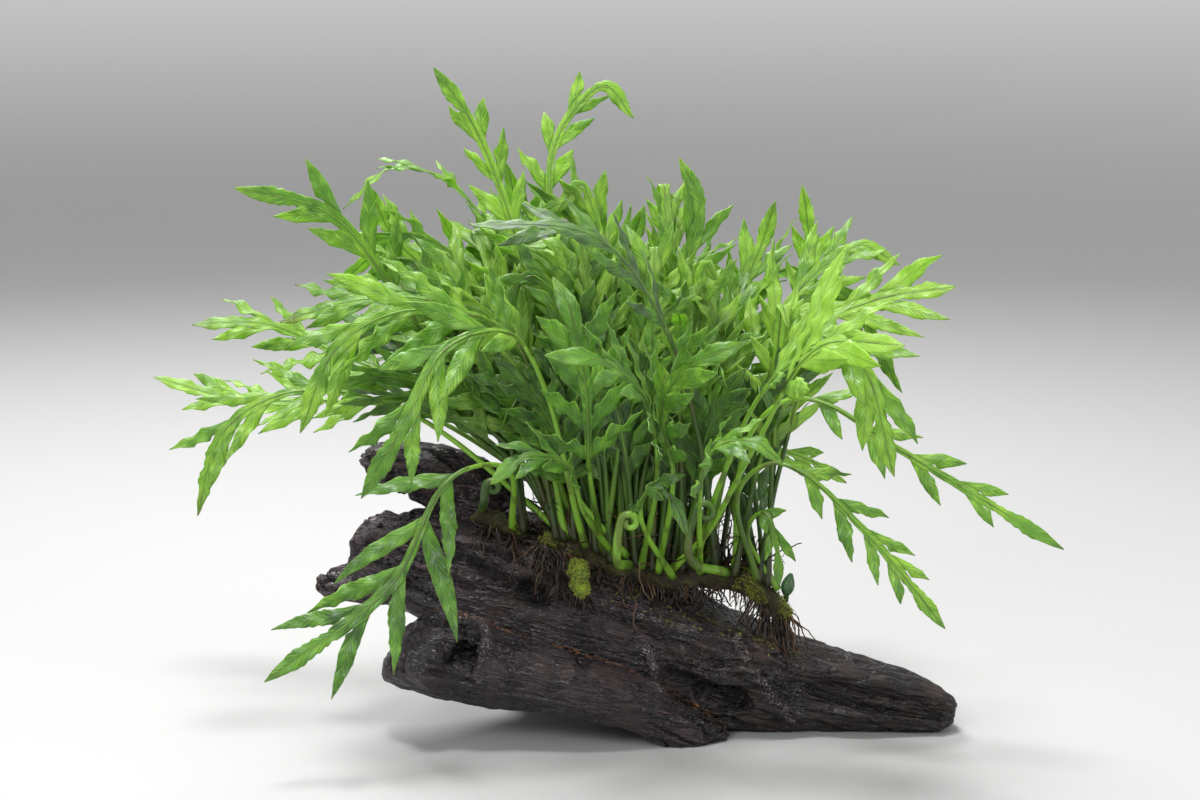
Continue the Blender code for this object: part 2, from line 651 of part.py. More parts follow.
def stalk_rings(frond, extra=0.0):
    """Left, top, right and underside of the stalk at its stations, up to the blade."""
    rings = []
    for station in range(STALK_STATIONS):
        step = station / (STALK_STATIONS - 1)
        share = frond.start * step
        radius = STALK_RADIUS + (STALK_TOP_RADIUS - STALK_RADIUS) * step + extra
        centre = frond.route.at(share)
        normal = frond.normal(share)
        across = normal.cross(frond.route.ahead(share))
        rings.append([centre + across * radius, centre + normal * radius,
                      centre - across * radius, centre - normal * radius])
    return rings


def leaf_fan(centre, lower, upper, lobe, middle):
    """Faces of one sheet of a lobe, between its two axils."""
    return [(centre, lower, middle), (lower, lobe["lower"], middle), (lobe["lower"], lobe["tip"], middle),
            (middle, lobe["tip"], lobe["upper"]), (middle, lobe["upper"], upper), (centre, middle, upper)]


def frond_body(frond, chosen):
    """Closed bmesh of one frond. chosen gives lift and scale of each lobe, or None for no lobe."""
    body = bmesh.new()
    rings = [[body.verts.new(point) for point in ring] for ring in stalk_rings(frond)]
    faces = [tuple(rings[0])]
    for here, after in zip(rings, rings[1:]):
        for side in range(4):
            beside = (side + 1) % 4
            faces.append((here[side], here[beside], after[beside], after[side]))
    start = rings[-1]
    edge = {1: start[0], -1: start[2]}
    sheets = {"top": start[1], "under": start[3]}
    for pair in range(frond.pairs):
        share = frond.stations[pair]
        centre, normal = frond.route.at(share), frond.normal(share)
        new_sheets = {"top": body.verts.new(centre + normal * MIDRIB),
                      "under": body.verts.new(centre - normal * MIDRIB)}
        for side in (1, -1):
            low, high = frond.axils(pair, side)
            below = edge[side] if pair == 0 else body.verts.new(low)
            above = body.verts.new(high)
            option = chosen[pair, side]
            if option:
                points = lobe_points(frond, pair, side, *option)
                lobe = {key: body.verts.new(point) for key, point in points.items()}
            for sheet in ("top", "under"):
                if pair:
                    faces.append((sheets[sheet], edge[side], below))
                faces.append((sheets[sheet], below, new_sheets[sheet]))
                if option:
                    faces += leaf_fan(new_sheets[sheet], below, above, lobe, lobe[sheet])
                else:
                    faces.append((new_sheets[sheet], below, above))
            edge[side] = above
        sheets = new_sheets
    faces += end_lobe_faces(frond, body, sheets, edge)
    for face in faces:
        body.faces.new(face)
    return body


def end_lobe_faces(frond, body, sheets, edge):
    """The blade's last lobe, from the last pair's middle and edges to the tip."""
    share = frond.end_start() * (1 - END_LOBE) + END_LOBE
    centre, normal = frond.route.at(share), frond.normal(share)
    across = normal.cross(frond.route.ahead(share))
    tip = body.verts.new(frond.route.at(1))
    wide = {side: body.verts.new(centre + across * side * 0.5 * frond.lobe_width) for side in (1, -1)}
    faces = []
    for sheet, sign in (("top", 1), ("under", -1)):
        middle = body.verts.new(centre + normal * LOBE_MIDDLE * sign)
        for side in (1, -1):
            faces += [(sheets[sheet], edge[side], middle), (edge[side], wide[side], middle),
                      (wide[side], tip, middle)]
    return faces


def tree_of(points, faces):
    """Search tree of a loose set of faces, with its box."""
    lowest = Vector([min(point[axis] for point in points) for axis in range(3)])
    highest = Vector([max(point[axis] for point in points) for axis in range(3)])
    return BVHTree.FromPolygons(points, faces), lowest, highest


def tree_of_mesh(source):
    """Search tree of a bmesh in millimetres."""
    source.verts.index_update()
    points = [vert.co.copy() for vert in source.verts]
    return tree_of(points, [[vert.index for vert in face.verts] for face in source.faces])


def tree_of_object(source):
    """Search tree of an object, in the millimetres of the tables."""
    points = [vert.co / MM + Vector(ORIGIN) for vert in source.data.vertices]
    return tree_of(points, [list(face.vertices) for face in source.data.polygons])


def touches(tree, others):
    """Whether a tree meets any of the others; boxes are compared first."""
    for other in others:
        apart = any(tree[1][axis] > other[2][axis] or tree[2][axis] < other[1][axis] for axis in range(3))
        if not apart and tree[0].overlap(other[0]):
            return True
    return False


def tube_tree(rings):
    """Search tree of a tube through four-cornered rings."""
    points = [point for ring in rings for point in ring]
    faces = []
    for ring in range(len(rings) - 1):
        for side in range(4):
            here = 4 * ring + side
            beside = 4 * ring + (side + 1) % 4
            faces.append((here, beside, beside + 4, here + 4))
    return tree_of(points, faces)


def lobe_tree(frond, pair, side, option, extra):
    """Search tree of one lobe from the midrib to its tip, made thicker on each side."""
    lobe = lobe_points(frond, pair, side, *option, extra=extra)
    lift = frond.lobe_route(pair, side, *option)[3] * extra
    below, above = frond.axils(pair, side)
    rim = [frond.route.at(frond.stations[pair]), below, lobe["lower"], lobe["tip"], lobe["upper"], above]
    corners = [point + lift for point in rim] + [point - lift for point in rim] + [lobe["top"], lobe["under"]]
    count = len(rim)
    faces = []
    for here in range(count):
        beside = (here + 1) % count
        faces += [(here, beside, beside + count, here + count), (here, beside, 2 * count),
                  (here + count, beside + count, 2 * count + 1)]
    return tree_of(corners, faces)


def diamond_tree(start, lower, tip, upper, top, under):
    """Search tree of a leaf's two faces round a raised middle."""
    faces = []
    for here in range(4):
        beside = (here + 1) % 4
        faces += [(here, beside, 4), (here, beside, 5)]
    return tree_of([start, lower, tip, upper, top, under], faces)


def outer_tree(frond, pair, side, option):
    """Search tree of one lobe beyond its foot, or None for a lobe that is all foot."""
    lobe = lobe_points(frond, pair, side, *option, extra=OWN_CLEARANCE)
    root, knee, tip, _ = frond.lobe_route(pair, side, *option)
    free = max(FREE_OF_FOOT, 1.3 * (frond.wing + 1) / (tip - root).length)
    if free > LOBE_WIDEST:
        return None
    start = bend(root, knee, tip, free)
    return diamond_tree(start, lobe["lower"], lobe["tip"], lobe["upper"], lobe["top"], lobe["under"])


def end_tree(frond):
    """Search tree of the end lobe."""
    share = frond.end_start() * (1 - END_LOBE) + END_LOBE
    centre, normal = frond.route.at(share), frond.normal(share)
    across = normal.cross(frond.route.ahead(share)) * (0.5 * frond.lobe_width + OWN_CLEARANCE)
    lift = normal * (LOBE_MIDDLE + OWN_CLEARANCE)
    return diamond_tree(frond.route.at(frond.end_start()), centre - across, frond.route.at(1),
                        centre + across, centre + lift, centre - lift)


def blade_half_width(frond, share):
    """Half width of the blade without its side lobes."""
    end = (share - frond.end_start()) / (1 - frond.end_start())
    if end <= 0:
        return frond.wing
    if end < END_LOBE:
        return frond.wing + (0.5 * frond.lobe_width - frond.wing) * end / END_LOBE
    return 0.5 * frond.lobe_width * (1 - end) / (1 - END_LOBE)


def midrib_rings(frond, extra):
    """Four-cornered rings along the whole frond: the stalk, the green edges and the end lobe."""
    rings = stalk_rings(frond, extra)
    steps = 2 * frond.pairs + 6
    for step in range(1, steps + 1):
        share = frond.start + (1 - frond.start) * step / steps
        centre, normal = frond.route.at(share), frond.normal(share)
        across = normal.cross(frond.route.ahead(share))
        wide = blade_half_width(frond, share) + 1.5 * extra
        thick = MIDRIB + extra
        rings.append([centre + across * wide, centre + normal * thick,
                      centre - across * wide, centre - normal * thick])
    return rings


def trials():
    """Moves to try for a frond, the smallest first: along the stem, around it, and of its route."""
    for reach in NUDGE_RINGS:
        for along, around in FOOT_SHIFTS:
            for way in range(NUDGE_WAYS if reach else 1):
                angle = math.tau * way / NUDGE_WAYS
                move = Vector((math.cos(angle), math.sin(angle), NUDGE_RISE)) * reach
                yield along, around, move


def settle(rows, wood):
    """Give each row of a creeping stem the height at which it lies on the wood."""
    trees = [tree_of_object(piece)[0] for piece in wood]
    settled = []
    for x, y, lift, radius in rows:
        hits = [tree.ray_cast(Vector((x, y, SKY)), Vector((0, 0, -1)))[0] for tree in trees]
        top = max(hit.z for hit in hits if hit)
        settled.append((x, y, top + lift + GAP + radius, radius))
    return settled


def stem_point(rows, share, lean):
    """Where a stalk leaves a creeping stem, leaning from straight up towards the viewer."""
    route = Route([row[:3] for row in rows])
    place = share * (len(rows) - 1)
    index = min(int(place), len(rows) - 2)
    radius = rows[index][3] + (rows[index + 1][3] - rows[index][3]) * (place - index)
    along = route.ahead(share)
    up = Frond.square_to(Vector((0, 0, 1)), along)
    toward = Frond.square_to(Vector((0, -1, 0)), along)
    angle = math.radians(lean)
    out = (up * math.cos(angle) + toward * math.sin(angle)).normalized()
    return route.at(share) + out * (radius + STALK_RADIUS + GAP)


def between(ends, step):
    """The value at a step from the first end to the second."""
    return ends[0] + (ends[1] - ends[0]) * step


def back_fronds(stem_rows):
    """Rows for the fronds behind the clump, placed by a rule in place of a table."""
    chance = random.Random(BACK_SEED)
    rows = {}
    for index in range(BACK_COUNT):
        step = index / (BACK_COUNT - 1)
        heading = math.radians(between(BACK_HEADINGS, step))
        root = ("rhizome_back", between(BACK_SHARES, step), BACK_LEAN)
        foot = stem_point(stem_rows[root[0]], *root[1:])
        reach = chance.uniform(*BACK_REACH)
        arch = chance.uniform(*BACK_ARCH)
        drop = chance.uniform(*BACK_DROP)
        way = Vector((math.cos(heading), math.sin(heading), 0))
        rise = foot + way * reach * BACK_RISE[0] + Vector((0, 0, arch * BACK_RISE[1]))
        crown = foot + way * reach * BACK_CROWN + Vector((0, 0, arch))
        tip = foot + way * reach + Vector((0, 0, arch - drop))
        blade = (BACK_START, 3 + index % 2, *BACK_LOBE)
        rows["back_%d" % (index + 1)] = (root, blade, BACK_FACING, (rise, crown, tip))
    return rows


def place_frond(number, name, row, stem_rows, solids, stems):
    """The first trial of a frond whose stalk and midrib stand clear of all that is there."""
    (stem, share, lean), blade, facing, points = row
    for along, around, move in trials():
        foot = stem_point(stem_rows[stem], min(max(share + along, 0.01), 0.99), lean + around)
        moves = [move] * (len(points) - 1) + [move * TIP_NUDGE]
        moved = [Vector(point) + step for point, step in zip(points, moves)]
        frond = Frond(name, foot, moved, blade, facing, number)
        wide = tube_tree(midrib_rings(frond, CLEARANCE))
        if touches(wide, solids):
            continue
        if not touches(tube_tree(midrib_rings(frond, 0)), stems):
            return frond
    print("no free way for", name)
    return frond


def choose_lobes(frond, solids):
    """For each lobe the lift and scale at which it fits, or None."""
    whole = [end_tree(frond), tree_of_mesh(frond_body(frond, dict.fromkeys(frond.lobes)))]
    outer = []
    chosen = {}
    for pair, side in frond.lobes:
        chosen[pair, side] = None
        for scale, lift in itertools.product(LOBE_SCALES, LOBE_LIFTS):
            option = (lift, scale)
            free = outer_tree(frond, pair, side, option)
            if free and touches(free, whole):
                continue
            own = lobe_tree(frond, pair, side, option, OWN_CLEARANCE)
            if touches(own, outer):
                continue
            if not touches(lobe_tree(frond, pair, side, option, CLEARANCE), solids):
                chosen[pair, side] = option
                whole.append(own)
                if free:
                    outer.append(free)
                break
    return chosen


def make_fronds(stem_rows, solids, stems):
    """Place every frond clear of the wood, the stems and the fronds before it."""
    solids = [tree_of_object(solid) for solid in solids]
    stems = [tree_of_object(stem) for stem in stems]
    table = dict(FRONDS)
    table.update(back_fronds(stem_rows))
    for number, (name, row) in enumerate(table.items()):
        frond = place_frond(number, name, row, stem_rows, solids, stems)
        body = frond_body(frond, choose_lobes(frond, solids + stems))
        solids.append(tree_of_mesh(body))
        add_object("frond_" + name, body, "leaf")


def tapered_tube(rows, sides, count):
    """Rings round a route given as x, y, z and radius."""
    route = Route([row[:3] for row in rows])
    rings = []
    normal = Vector((0, 0, 1))
    for index in range(count):
        share = index / (count - 1)
        place = share * (len(rows) - 1)
        low = min(int(place), len(rows) - 2)
        radius = rows[low][3] + (rows[low + 1][3] - rows[low][3]) * (place - low)
        along = route.ahead(share)
        normal = Frond.square_to(normal, along)
        across = normal.cross(along)
        ring = []
        for side in range(sides):
            angle = math.tau * side / sides
            place = Vector((index * 0.9, 2 * math.cos(angle), 2 * math.sin(angle) + rows[0][0]))
            lump = 1 + STEM_LUMPS * noise.noise(place)
            out = across * math.cos(angle) + normal * math.sin(angle)
            ring.append(route.at(share) + out * radius * lump)
        rings.append(ring)
    return rings


def make_stems(stem_rows, wood):
    """The creeping stems on the wood, then the stub of moss and the mats of roots."""
    stems = []
    for name, rows in stem_rows.items():
        stem = add_object(name, skin(tapered_tube(rows, STEM_SIDES, len(rows) + 4)), "stem")
        clear_of(stem, wood + stems)
        stems.append(stem)
    clinging = []
    for name, rows in CLINGING.items():
        piece = add_object(name, skin(tapered_tube(rows, STEM_SIDES, CLINGING_RINGS)), "roots")
        clear_of(piece, wood + stems + clinging)
        clinging.append(piece)
    return stems, clinging


def coil_rings(route_points, radius):
    """Rings of a stalk that ends in a flat coil."""
    foot, rise, centre = [Vector(point) for point in route_points]
    points = [foot, rise]
    for step in range(COIL_TURNS):
        angle = math.radians(COIL_START + COIL_STEP * step)
        reach = radius * (1 - COIL_SHRINK * step)
        offset = Vector((math.cos(angle) * reach, COIL_DRIFT * step, -math.sin(angle) * reach))
        points.append(centre + offset)
    rows = [(*point, COIL_THICK - COIL_TAPER * index) for index, point in enumerate(points)]
    return tapered_tube(rows, 4, 12)


def make_young(stem_rows, around):
    """Coiled young fronds and the bud at the end of the stem."""
    young = []
    for name, (root, (rise, centre), radius) in FIDDLEHEADS.items():
        body = skin(coil_rings((stem_point(stem_rows[root[0]], *root[1:]), rise, centre), radius))
        young.append(add_object(name, body, "young"))
    root, offsets = BUD
    foot = stem_point(stem_rows[root[0]], *root[1:])
    rows = [(foot.x + x, foot.y + y, foot.z + z, radius) for x, y, z, radius in offsets]
    young.append(add_object("bud_right", skin(tapered_tube(rows, 6, 5)), "young"))
    for piece in young:
        clear_of(piece, around)
    return young


def main():
    for old in list(bpy.data.objects):
        bpy.data.objects.remove(old)
    wood = make_driftwood()
    stem_rows = {name: settle(rows, wood) for name, rows in RHIZOMES.items()}
    stems, clinging = make_stems(stem_rows, wood)
    young = make_young(stem_rows, stems + clinging)
    make_fronds(stem_rows, wood + clinging + young, stems)


main()
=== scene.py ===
"""Looks of the African water fern on driftwood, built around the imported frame.

The layout of the fronds is worked out in the millimetres of the part's tables and matched to the
frame's own vertices, so every fine frond lies where its solid lies.
"""

import math
import random

import bmesh
import bpy
import numpy as np
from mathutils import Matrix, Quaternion, Vector, kdtree, noise
from mathutils.bvhtree import BVHTree


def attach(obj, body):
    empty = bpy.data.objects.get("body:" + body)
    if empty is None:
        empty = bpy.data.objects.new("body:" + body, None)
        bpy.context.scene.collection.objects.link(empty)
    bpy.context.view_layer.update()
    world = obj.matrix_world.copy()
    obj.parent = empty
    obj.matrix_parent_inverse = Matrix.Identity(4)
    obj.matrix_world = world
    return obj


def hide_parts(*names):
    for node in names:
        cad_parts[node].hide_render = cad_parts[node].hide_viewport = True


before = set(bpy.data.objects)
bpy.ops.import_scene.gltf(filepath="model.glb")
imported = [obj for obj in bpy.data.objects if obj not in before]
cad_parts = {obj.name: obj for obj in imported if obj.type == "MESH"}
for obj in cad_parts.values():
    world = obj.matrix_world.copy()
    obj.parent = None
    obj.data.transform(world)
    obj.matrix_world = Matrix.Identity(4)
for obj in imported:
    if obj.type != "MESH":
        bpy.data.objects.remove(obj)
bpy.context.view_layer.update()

MM = 0.001
GAP = 0.3
ORIGIN = (34, 14, 0)    # the place in the tables that is the part's origin

# Creeping stems: x, y, height of the underside above the wood, radius.
RHIZOMES = {
    "rhizome_main": ((-34, -13, 0, 3.0), (-21, -13, 0, 4.0), (-7, -12, 0, 4.2), (8, -11, 3.9, 4.0),
                     (22, -10, 10, 4.2), (35, -9, 12.8, 4.0), (44, -9, 11.5, 3.8),
                     (51, -9, 8.5, 2.4)),
    "rhizome_left": ((-57, -8, 0, 2.2), (-51, -10, 1, 3.0), (-45, -12, 0.5, 2.8),
                     (-39, -13, 0, 2.6)),
    "rhizome_back": ((-32, 3, 0, 3.4), (-18, 8, 0, 4.0), (-3, 12, 0.1, 4.2), (12, 13, 2.3, 4.0),
                     (27, 12, 6, 3.2)),
}
SKY = 300              # height from which the wood's top is looked for
# The stub of moss on the front of the wood: x, y, z, radius.
MOSS_STUB = ((-22, -20, 62, 2.2), (-20.5, -26.5, 60, 2.9), (-20, -29, 56.5, 2.8),
             (-19.5, -29.5, 52.5, 1.8))

# Fronds. Root: creeping stem, share of its length, degrees that the stalk leaves it from straight
# up towards the viewer. Blade: share of the length where it starts, pairs of lobes, longest lobe,
# lobe width. Facing: 1 turns the blade to the viewer, 0 up. Route: rise, arch and tip.
FRONDS = {
    "left_front": (
        ("rhizome_left", 0.75, 50), (0.36, 4, 35, 6.5), 0.85,
        ((-44, -40, 98), (-62, -58, 97), (-79, -68, 66), (-119, -74, 36))),
    "near_right": (
        ("rhizome_main", 0.52, 35), (0.62, 3, 33, 8), 0.6,
        ((16, -26, 72), (30, -58, 108), (46, -92, 143), (72, -112, 147))),
    "dark_arch": (
        ("rhizome_main", 0.66, 30), (0.52, 4, 26, 6), 0.45,
        ((19, -28, 105), (6, -44, 147), (-16, -48, 174), (-55, -50, 178))),
    "left_c": (
        ("rhizome_main", 0.15, 40), (0.46, 4, 27, 7), 0.8,
        ((-38, -50, 140), (-60, -68, 142), (-74, -78, 118), (-87, -80, 96))),
    "left_b": (
        ("rhizome_main", 0.08, 20), (0.42, 4, 32, 7), 0.75,
        ((-40, -36, 138), (-70, -50, 151), (-95, -56, 141), (-108, -60, 113))),
    "front_mid_a": (
        ("rhizome_main", 0.22, 40), (0.38, 4, 29, 7), 0.7,
        ((-17, -48, 99), (-18, -70, 129), (-22, -80, 152), (-28, -76, 164))),
    "front_mid_b": (
        ("rhizome_main", 0.38, 40), (0.42, 4, 27, 7), 0.55,
        ((5, -44, 97), (0, -76, 126), (-13, -96, 141), (-30, -106, 144))),
    "front_mid_c": (
        ("rhizome_main", 0.45, 40), (0.42, 4, 27, 7), 0.6,
        ((10, -44, 95), (6, -70, 123), (14, -86, 138), (30, -92, 146))),
    "near_right_low": (
        ("rhizome_main", 0.6, 20), (0.52, 4, 27, 7), 0.7,
        ((26, -38, 94), (40, -64, 130), (62, -80, 142), (76, -86, 104))),
    "right_low_a": (
        ("rhizome_main", 0.73, 10), (0.44, 4, 17, 5.5), 0.65,
        ((35, -24, 104), (52, -34, 120), (84, -44, 104), (134, -58, 75))),
    "right_low_b": (
        ("rhizome_main", 0.8, 35), (0.46, 4, 17, 5.5), 0.65,
        ((32, -26, 87), (46, -32, 98), (72, -42, 78), (98, -50, 47))),
    "hang_right": (
        ("rhizome_main", 0.87, 10), (0.52, 2, 10, 4), 0.7,
        ((36, -14, 70), (41, -20, 79), (45, -25, 69), (46, -26, 55))),
    "front_low": (
        ("rhizome_main", 0.27, 50), (0.5, 3, 17, 6), 0.5,
        ((-19, -42, 84), (-24, -54, 101), (-37, -63, 106), (-48, -68, 98))),
    "front_low_right": (
        ("rhizome_main", 0.57, 55), (0.5, 3, 20, 6), 0.5,
        ((10, -42, 86), (12, -60, 105), (24, -72, 111), (38, -78, 106))),
    "hang_mid": (
        ("rhizome_main", 0.48, 60), (0.52, 2, 13, 5), 0.6,
        ((0, -40, 80), (2, -54, 94), (9, -60, 92), (14, -61, 80))),
    "middle_low_a": (
        ("rhizome_main", 0.3, 20), (0.36, 4, 22, 6), 0.7,
        ((-22, -20, 86), (-28, -30, 108), (-38, -36, 124), (-48, -38, 134))),
    "middle_low_b": (
        ("rhizome_main", 0.54, 5), (0.36, 4, 22, 6), 0.7,
        ((16, -16, 84), (18, -26, 104), (24, -34, 120), (32, -38, 130))),
    "left_brown_tip": (
        ("rhizome_main", 0.12, -10), (0.52, 4, 25, 6), 0.5,
        ((-42, -20, 128), (-66, -28, 150), (-91, -32, 152), (-117, -36, 145))),
    "left_top": (
        ("rhizome_main", 0.18, 0), (0.48, 4, 27, 6.5), 0.75,
        ((-58, -2, 119), (-81, -3, 149), (-103, -10, 178), (-134, -15, 187))),
    "left_far_droop": (
        ("rhizome_main", 0.05, -10), (0.46, 4, 26, 5.5), 0.6,
        ((-76, -8, 110), (-114, -12, 119), (-139, -16, 106), (-148, -20, 78))),
    "left_arch": (
        ("rhizome_main", 0.25, -20), (0.5, 4, 20, 6), 0.2,
        ((-42, 12, 143), (-59, 19, 181), (-83, 17, 192), (-101, 11, 178))),
    "top_left": (
        ("rhizome_main", 0.34, -10), (0.5, 5, 18, 6), 0.8,
        ((-28, 0, 112), (-42, 2, 170), (-55, 2, 205), (-69, 0, 226))),
    "top_right": (
        ("rhizome_main", 0.42, -25), (0.52, 5, 17, 6), 0.6,
        ((-18, 14, 128), (-31, 24, 190), (-14, 30, 219), (-2, 28, 208))),
    "mid_upright": (
        ("rhizome_main", 0.5, -15), (0.42, 4, 27, 6), 0.85,
        ((5, 4, 110), (11, 6, 146), (20, 6, 178), (13, 5, 196))),
    "right_upper": (
        ("rhizome_main", 0.64, -10), (0.52, 4, 30, 6.5), 0.55,
        ((31, -8, 98), (51, -12, 136), (77, -17, 150), (103, -22, 155))),
    "right_top": (
        ("rhizome_main", 0.56, -25), (0.5, 4, 27, 6.5), 0.65,
        ((28, 8, 105), (49, 17, 142), (74, 22, 164), (90, 20, 158))),
    "right_light": (
        ("rhizome_main", 0.78, -20), (0.45, 3, 15, 5), 0.5,
        ((32, 8, 82), (42, 16, 93), (56, 20, 91), (73, 22, 81))),
    "left_mid_a": (
        ("rhizome_back", 0.02, 10), (0.5, 4, 26, 6), 0.5,
        ((-78, 16, 115), (-109, 21, 129), (-130, 18, 138), (-154, 14, 138))),
    "left_mid_c": (
        ("rhizome_back", 0.1, -10), (0.5, 4, 26, 6), 0.4,
        ((-76, 32, 104), (-110, 42, 107), (-143, 46, 107), (-174, 46, 115))),
    "centre_left": (
        ("rhizome_back", 0.18, 15), (0.52, 4, 25, 6.5), 0.7,
        ((-50, 36, 118), (-71, 42, 150), (-87, 42, 166), (-95, 40, 184))),
    "centre_top_a": (
        ("rhizome_back", 0.5, 15), (0.42, 4, 25, 6.5), 0.8,
        ((-9, 24, 116), (-10, 28, 148), (-3, 30, 164), (2, 30, 178))),
    "centre_top_b": (
        ("rhizome_back", 0.3, 10), (0.42, 4, 25, 6.5), 0.8,
        ((-28, 36, 115), (-36, 44, 153), (-42, 47, 173), (-47, 46, 192))),
    "right_mid": (
        ("rhizome_back", 0.75, 10), (0.42, 4, 25, 6.5), 0.8,
        ((18, 28, 108), (36, 35, 147), (44, 38, 165), (48, 37, 179))),
    "lone_right": (
        ("rhizome_back", 0.88, 10), (0.56, 3, 18, 6), 0.7,
        ((43, 32, 101), (58, 42, 136), (61, 46, 161), (58, 44, 184))),
}
# Fronds behind the clump follow a rule. They fan out over the back, each with its own reach,
# height of the arch above the root, and drop from there to the tip.
BACK_COUNT = 10
BACK_HEADINGS = (18, 162)     # degrees from +X, first and last
BACK_SHARES = (0.97, 0.03)    # of the back stem's length, first and last
BACK_LEAN = -35
BACK_REACH = (58, 84)
BACK_ARCH = (66, 104)
BACK_DROP = (8, 40)
BACK_RISE = (0.22, 0.62)      # shares of the reach and of the arch at the first bend
BACK_CROWN = 0.58             # share of the reach at the top of the arch
BACK_START = 0.42
BACK_PAIRS = (3, 4)           # in turn
BACK_LOBE = (27, 6.5)
BACK_FACING = -0.5
BACK_SEED = 17
# Young fronds that are still coiled: root as above, rise and centre of the coil, coil radius.
FIDDLEHEADS = {
    "fiddlehead_right": (("rhizome_main", 0.69, 60), ((16, -30, 66), (21, -34, 82)), 3.4),
    "fiddlehead_mid": (("rhizome_main", 0.33, 65), ((-8, -34, 66), (-4, -40, 80)), 3.0),
    "fiddlehead_left": (("rhizome_left", 0.25, 30), ((-52, -24, 84), (-49, -27, 89)), 2.4),
}
COIL_TURNS = 7
COIL_START, COIL_STEP = -150, 62      # degrees
COIL_SHRINK, COIL_DRIFT = 0.1, 0.18   # share of the radius lost and sideways move at each step
# The closed bud near the stem's end: root, then offsets from it along the bud.
BUD = (("rhizome_main", 0.93, -10), ((0, 0, 0), (0.6, 0, 3.5), (1.6, 0, 7.5)))

STALK_RADIUS = 1.45
STALK_TOP_RADIUS = 0.85
STALK_STATIONS = 4
WING = 2.3            # half width of the green edge along the midrib
WING_LOBE = 26        # lobe length below which a frond's edge is narrower in proportion
LOBE_SLIM = 0.21      # a lobe's half width is at most this share of its reach
LOBE_FOOT = 6.5       # length of the midrib that one lobe leaves
FOOT_MOST = 0.68      # most that it may be, as a share of the way from one pair to the next
FOOT_BELOW = 0.45     # share of it that lies below the lobe's root
LOBE_KNEE = 0.52      # share of a lobe's length before it turns towards the frond's tip
LOBE_TURN, LOBE_KEEP = 0.35, 0.8    # how far it turns there, and how far it keeps its way
LOBE_WIDEST = 0.56    # share of the length where a lobe is widest
LOBE_LOW = 0.2        # share of the length from which its direction to the tip is taken
LOBE_FADE = 0.36      # share of the length that the last pair has lost
LOBE_OPENING, LOBE_CLOSING = 47, 13    # degrees from the midrib: first pair, lost by the last
END_LOBE = 0.5        # share of the end lobe's length where it is widest
TWIST = 14            # degrees a blade may turn about its midrib

# Where a packed frond is looked for, the smallest change from its row above first: its foot along
# the stem (share) and around it (degrees), its route in rings of moves to the side, and for each
# lobe a lift out of the blade's plane (degrees) and a share of its length.
FOOT_SHIFTS = ((0, 0), (0.02, 0), (-0.02, 0), (0, 14), (0, -14), (0.02, 14), (-0.02, -14), (0.04, 0),
               (-0.04, 0), (0.04, 24), (-0.04, -24))
STEM_ENDS = (0.01, 0.99)        # shares of a stem between which a foot stays
NUDGE_RINGS = (0, 3, 6, 9, 12, 16, 22, 30)
NUDGE_WAYS = 8
NUDGE_RISE = 0.25     # share of the move that goes up as well
TIP_NUDGE = 0.5       # share of the move that the tip takes part in
LOBE_LIFTS = (0, 12, -12, 24, -24, 38, -38, 55, -55)
LOBE_SCALES = (1.0, 0.85, 0.7, 0.5, 0.36)
# Width of a shortened lobe: the first, and the second times its share of the length.
SHORT_WIDTH, SHORT_GAIN = 0.35, 0.75
# Spread of the lobes of one frond: length and width as shares, opening in degrees, droop as a slope,
# and shift along the midrib as a share of the way from one pair to the next.
LENGTH_SPREAD, WIDTH_SPREAD = (0.85, 1.12), (0.88, 1.12)
OPENING_SPREAD, DROOP_SPREAD, SHIFT_SPREAD = (-6, 6), (0.02, 0.22), (-0.12, 0.12)
AHEAD = 0.02          # share of a route to both sides over which its direction is taken
FIRST_STATION = 0.4   # of the spacing of the pairs, from the blade's foot to the first pair
END_ROOM = 1.3        # of that spacing, the room for both ends of the blade
TURN_STEP = 0.04      # share of the length over which a blade's upper side is carried on at once
FIRST_PAIR = 0.82     # length of the first pair of lobes against the second


def smooth(value):
    """0 below 0, 1 above 1, and a soft step between, for one number or a row of them."""
    value = np.clip(value, 0.0, 1.0)
    return value * value * (3 - 2 * value)


def mix(low, high, share):
    return low + (high - low) * share


def turns(sides):
    """The angles of the sides of a tube."""
    return [math.tau * side / sides for side in range(sides)]


class Route:
    """A smooth curve through given points, read by the share of its length."""

    def __init__(self, points, steps=14):
        points = [Vector(point) for point in points]
        tangents = []
        for index in range(len(points)):
            before = points[max(index - 1, 0)]
            after = points[min(index + 1, len(points) - 1)]
            tangents.append((after - before).normalized())
        self.line = []
        for index in range(len(points) - 1):
            start, end = points[index], points[index + 1]
            reach = (end - start).length
            for step in range(steps):
                share = step / steps
                square, cube = share ** 2, share ** 3
                self.line.append(start * (2 * cube - 3 * square + 1) + end * (3 * square - 2 * cube)
                                 + tangents[index] * reach * (cube - 2 * square + share)
                                 + tangents[index + 1] * reach * (cube - square))
        self.line.append(points[-1])
        self.marks = [0.0]
        for start, end in zip(self.line, self.line[1:]):
            self.marks.append(self.marks[-1] + (end - start).length)
        self.length = self.marks[-1]

    def at(self, share):
        """The point at a share of the length."""
        goal = min(max(share, 0.0), 1.0) * self.length
        index = 0
        while index < len(self.marks) - 2 and self.marks[index + 1] < goal:
            index += 1
        span = self.marks[index + 1] - self.marks[index]
        return self.line[index].lerp(self.line[index + 1], (goal - self.marks[index]) / span)

    def ahead(self, share):
        """The direction of the curve there."""
        return (self.at(share + AHEAD) - self.at(share - AHEAD)).normalized()


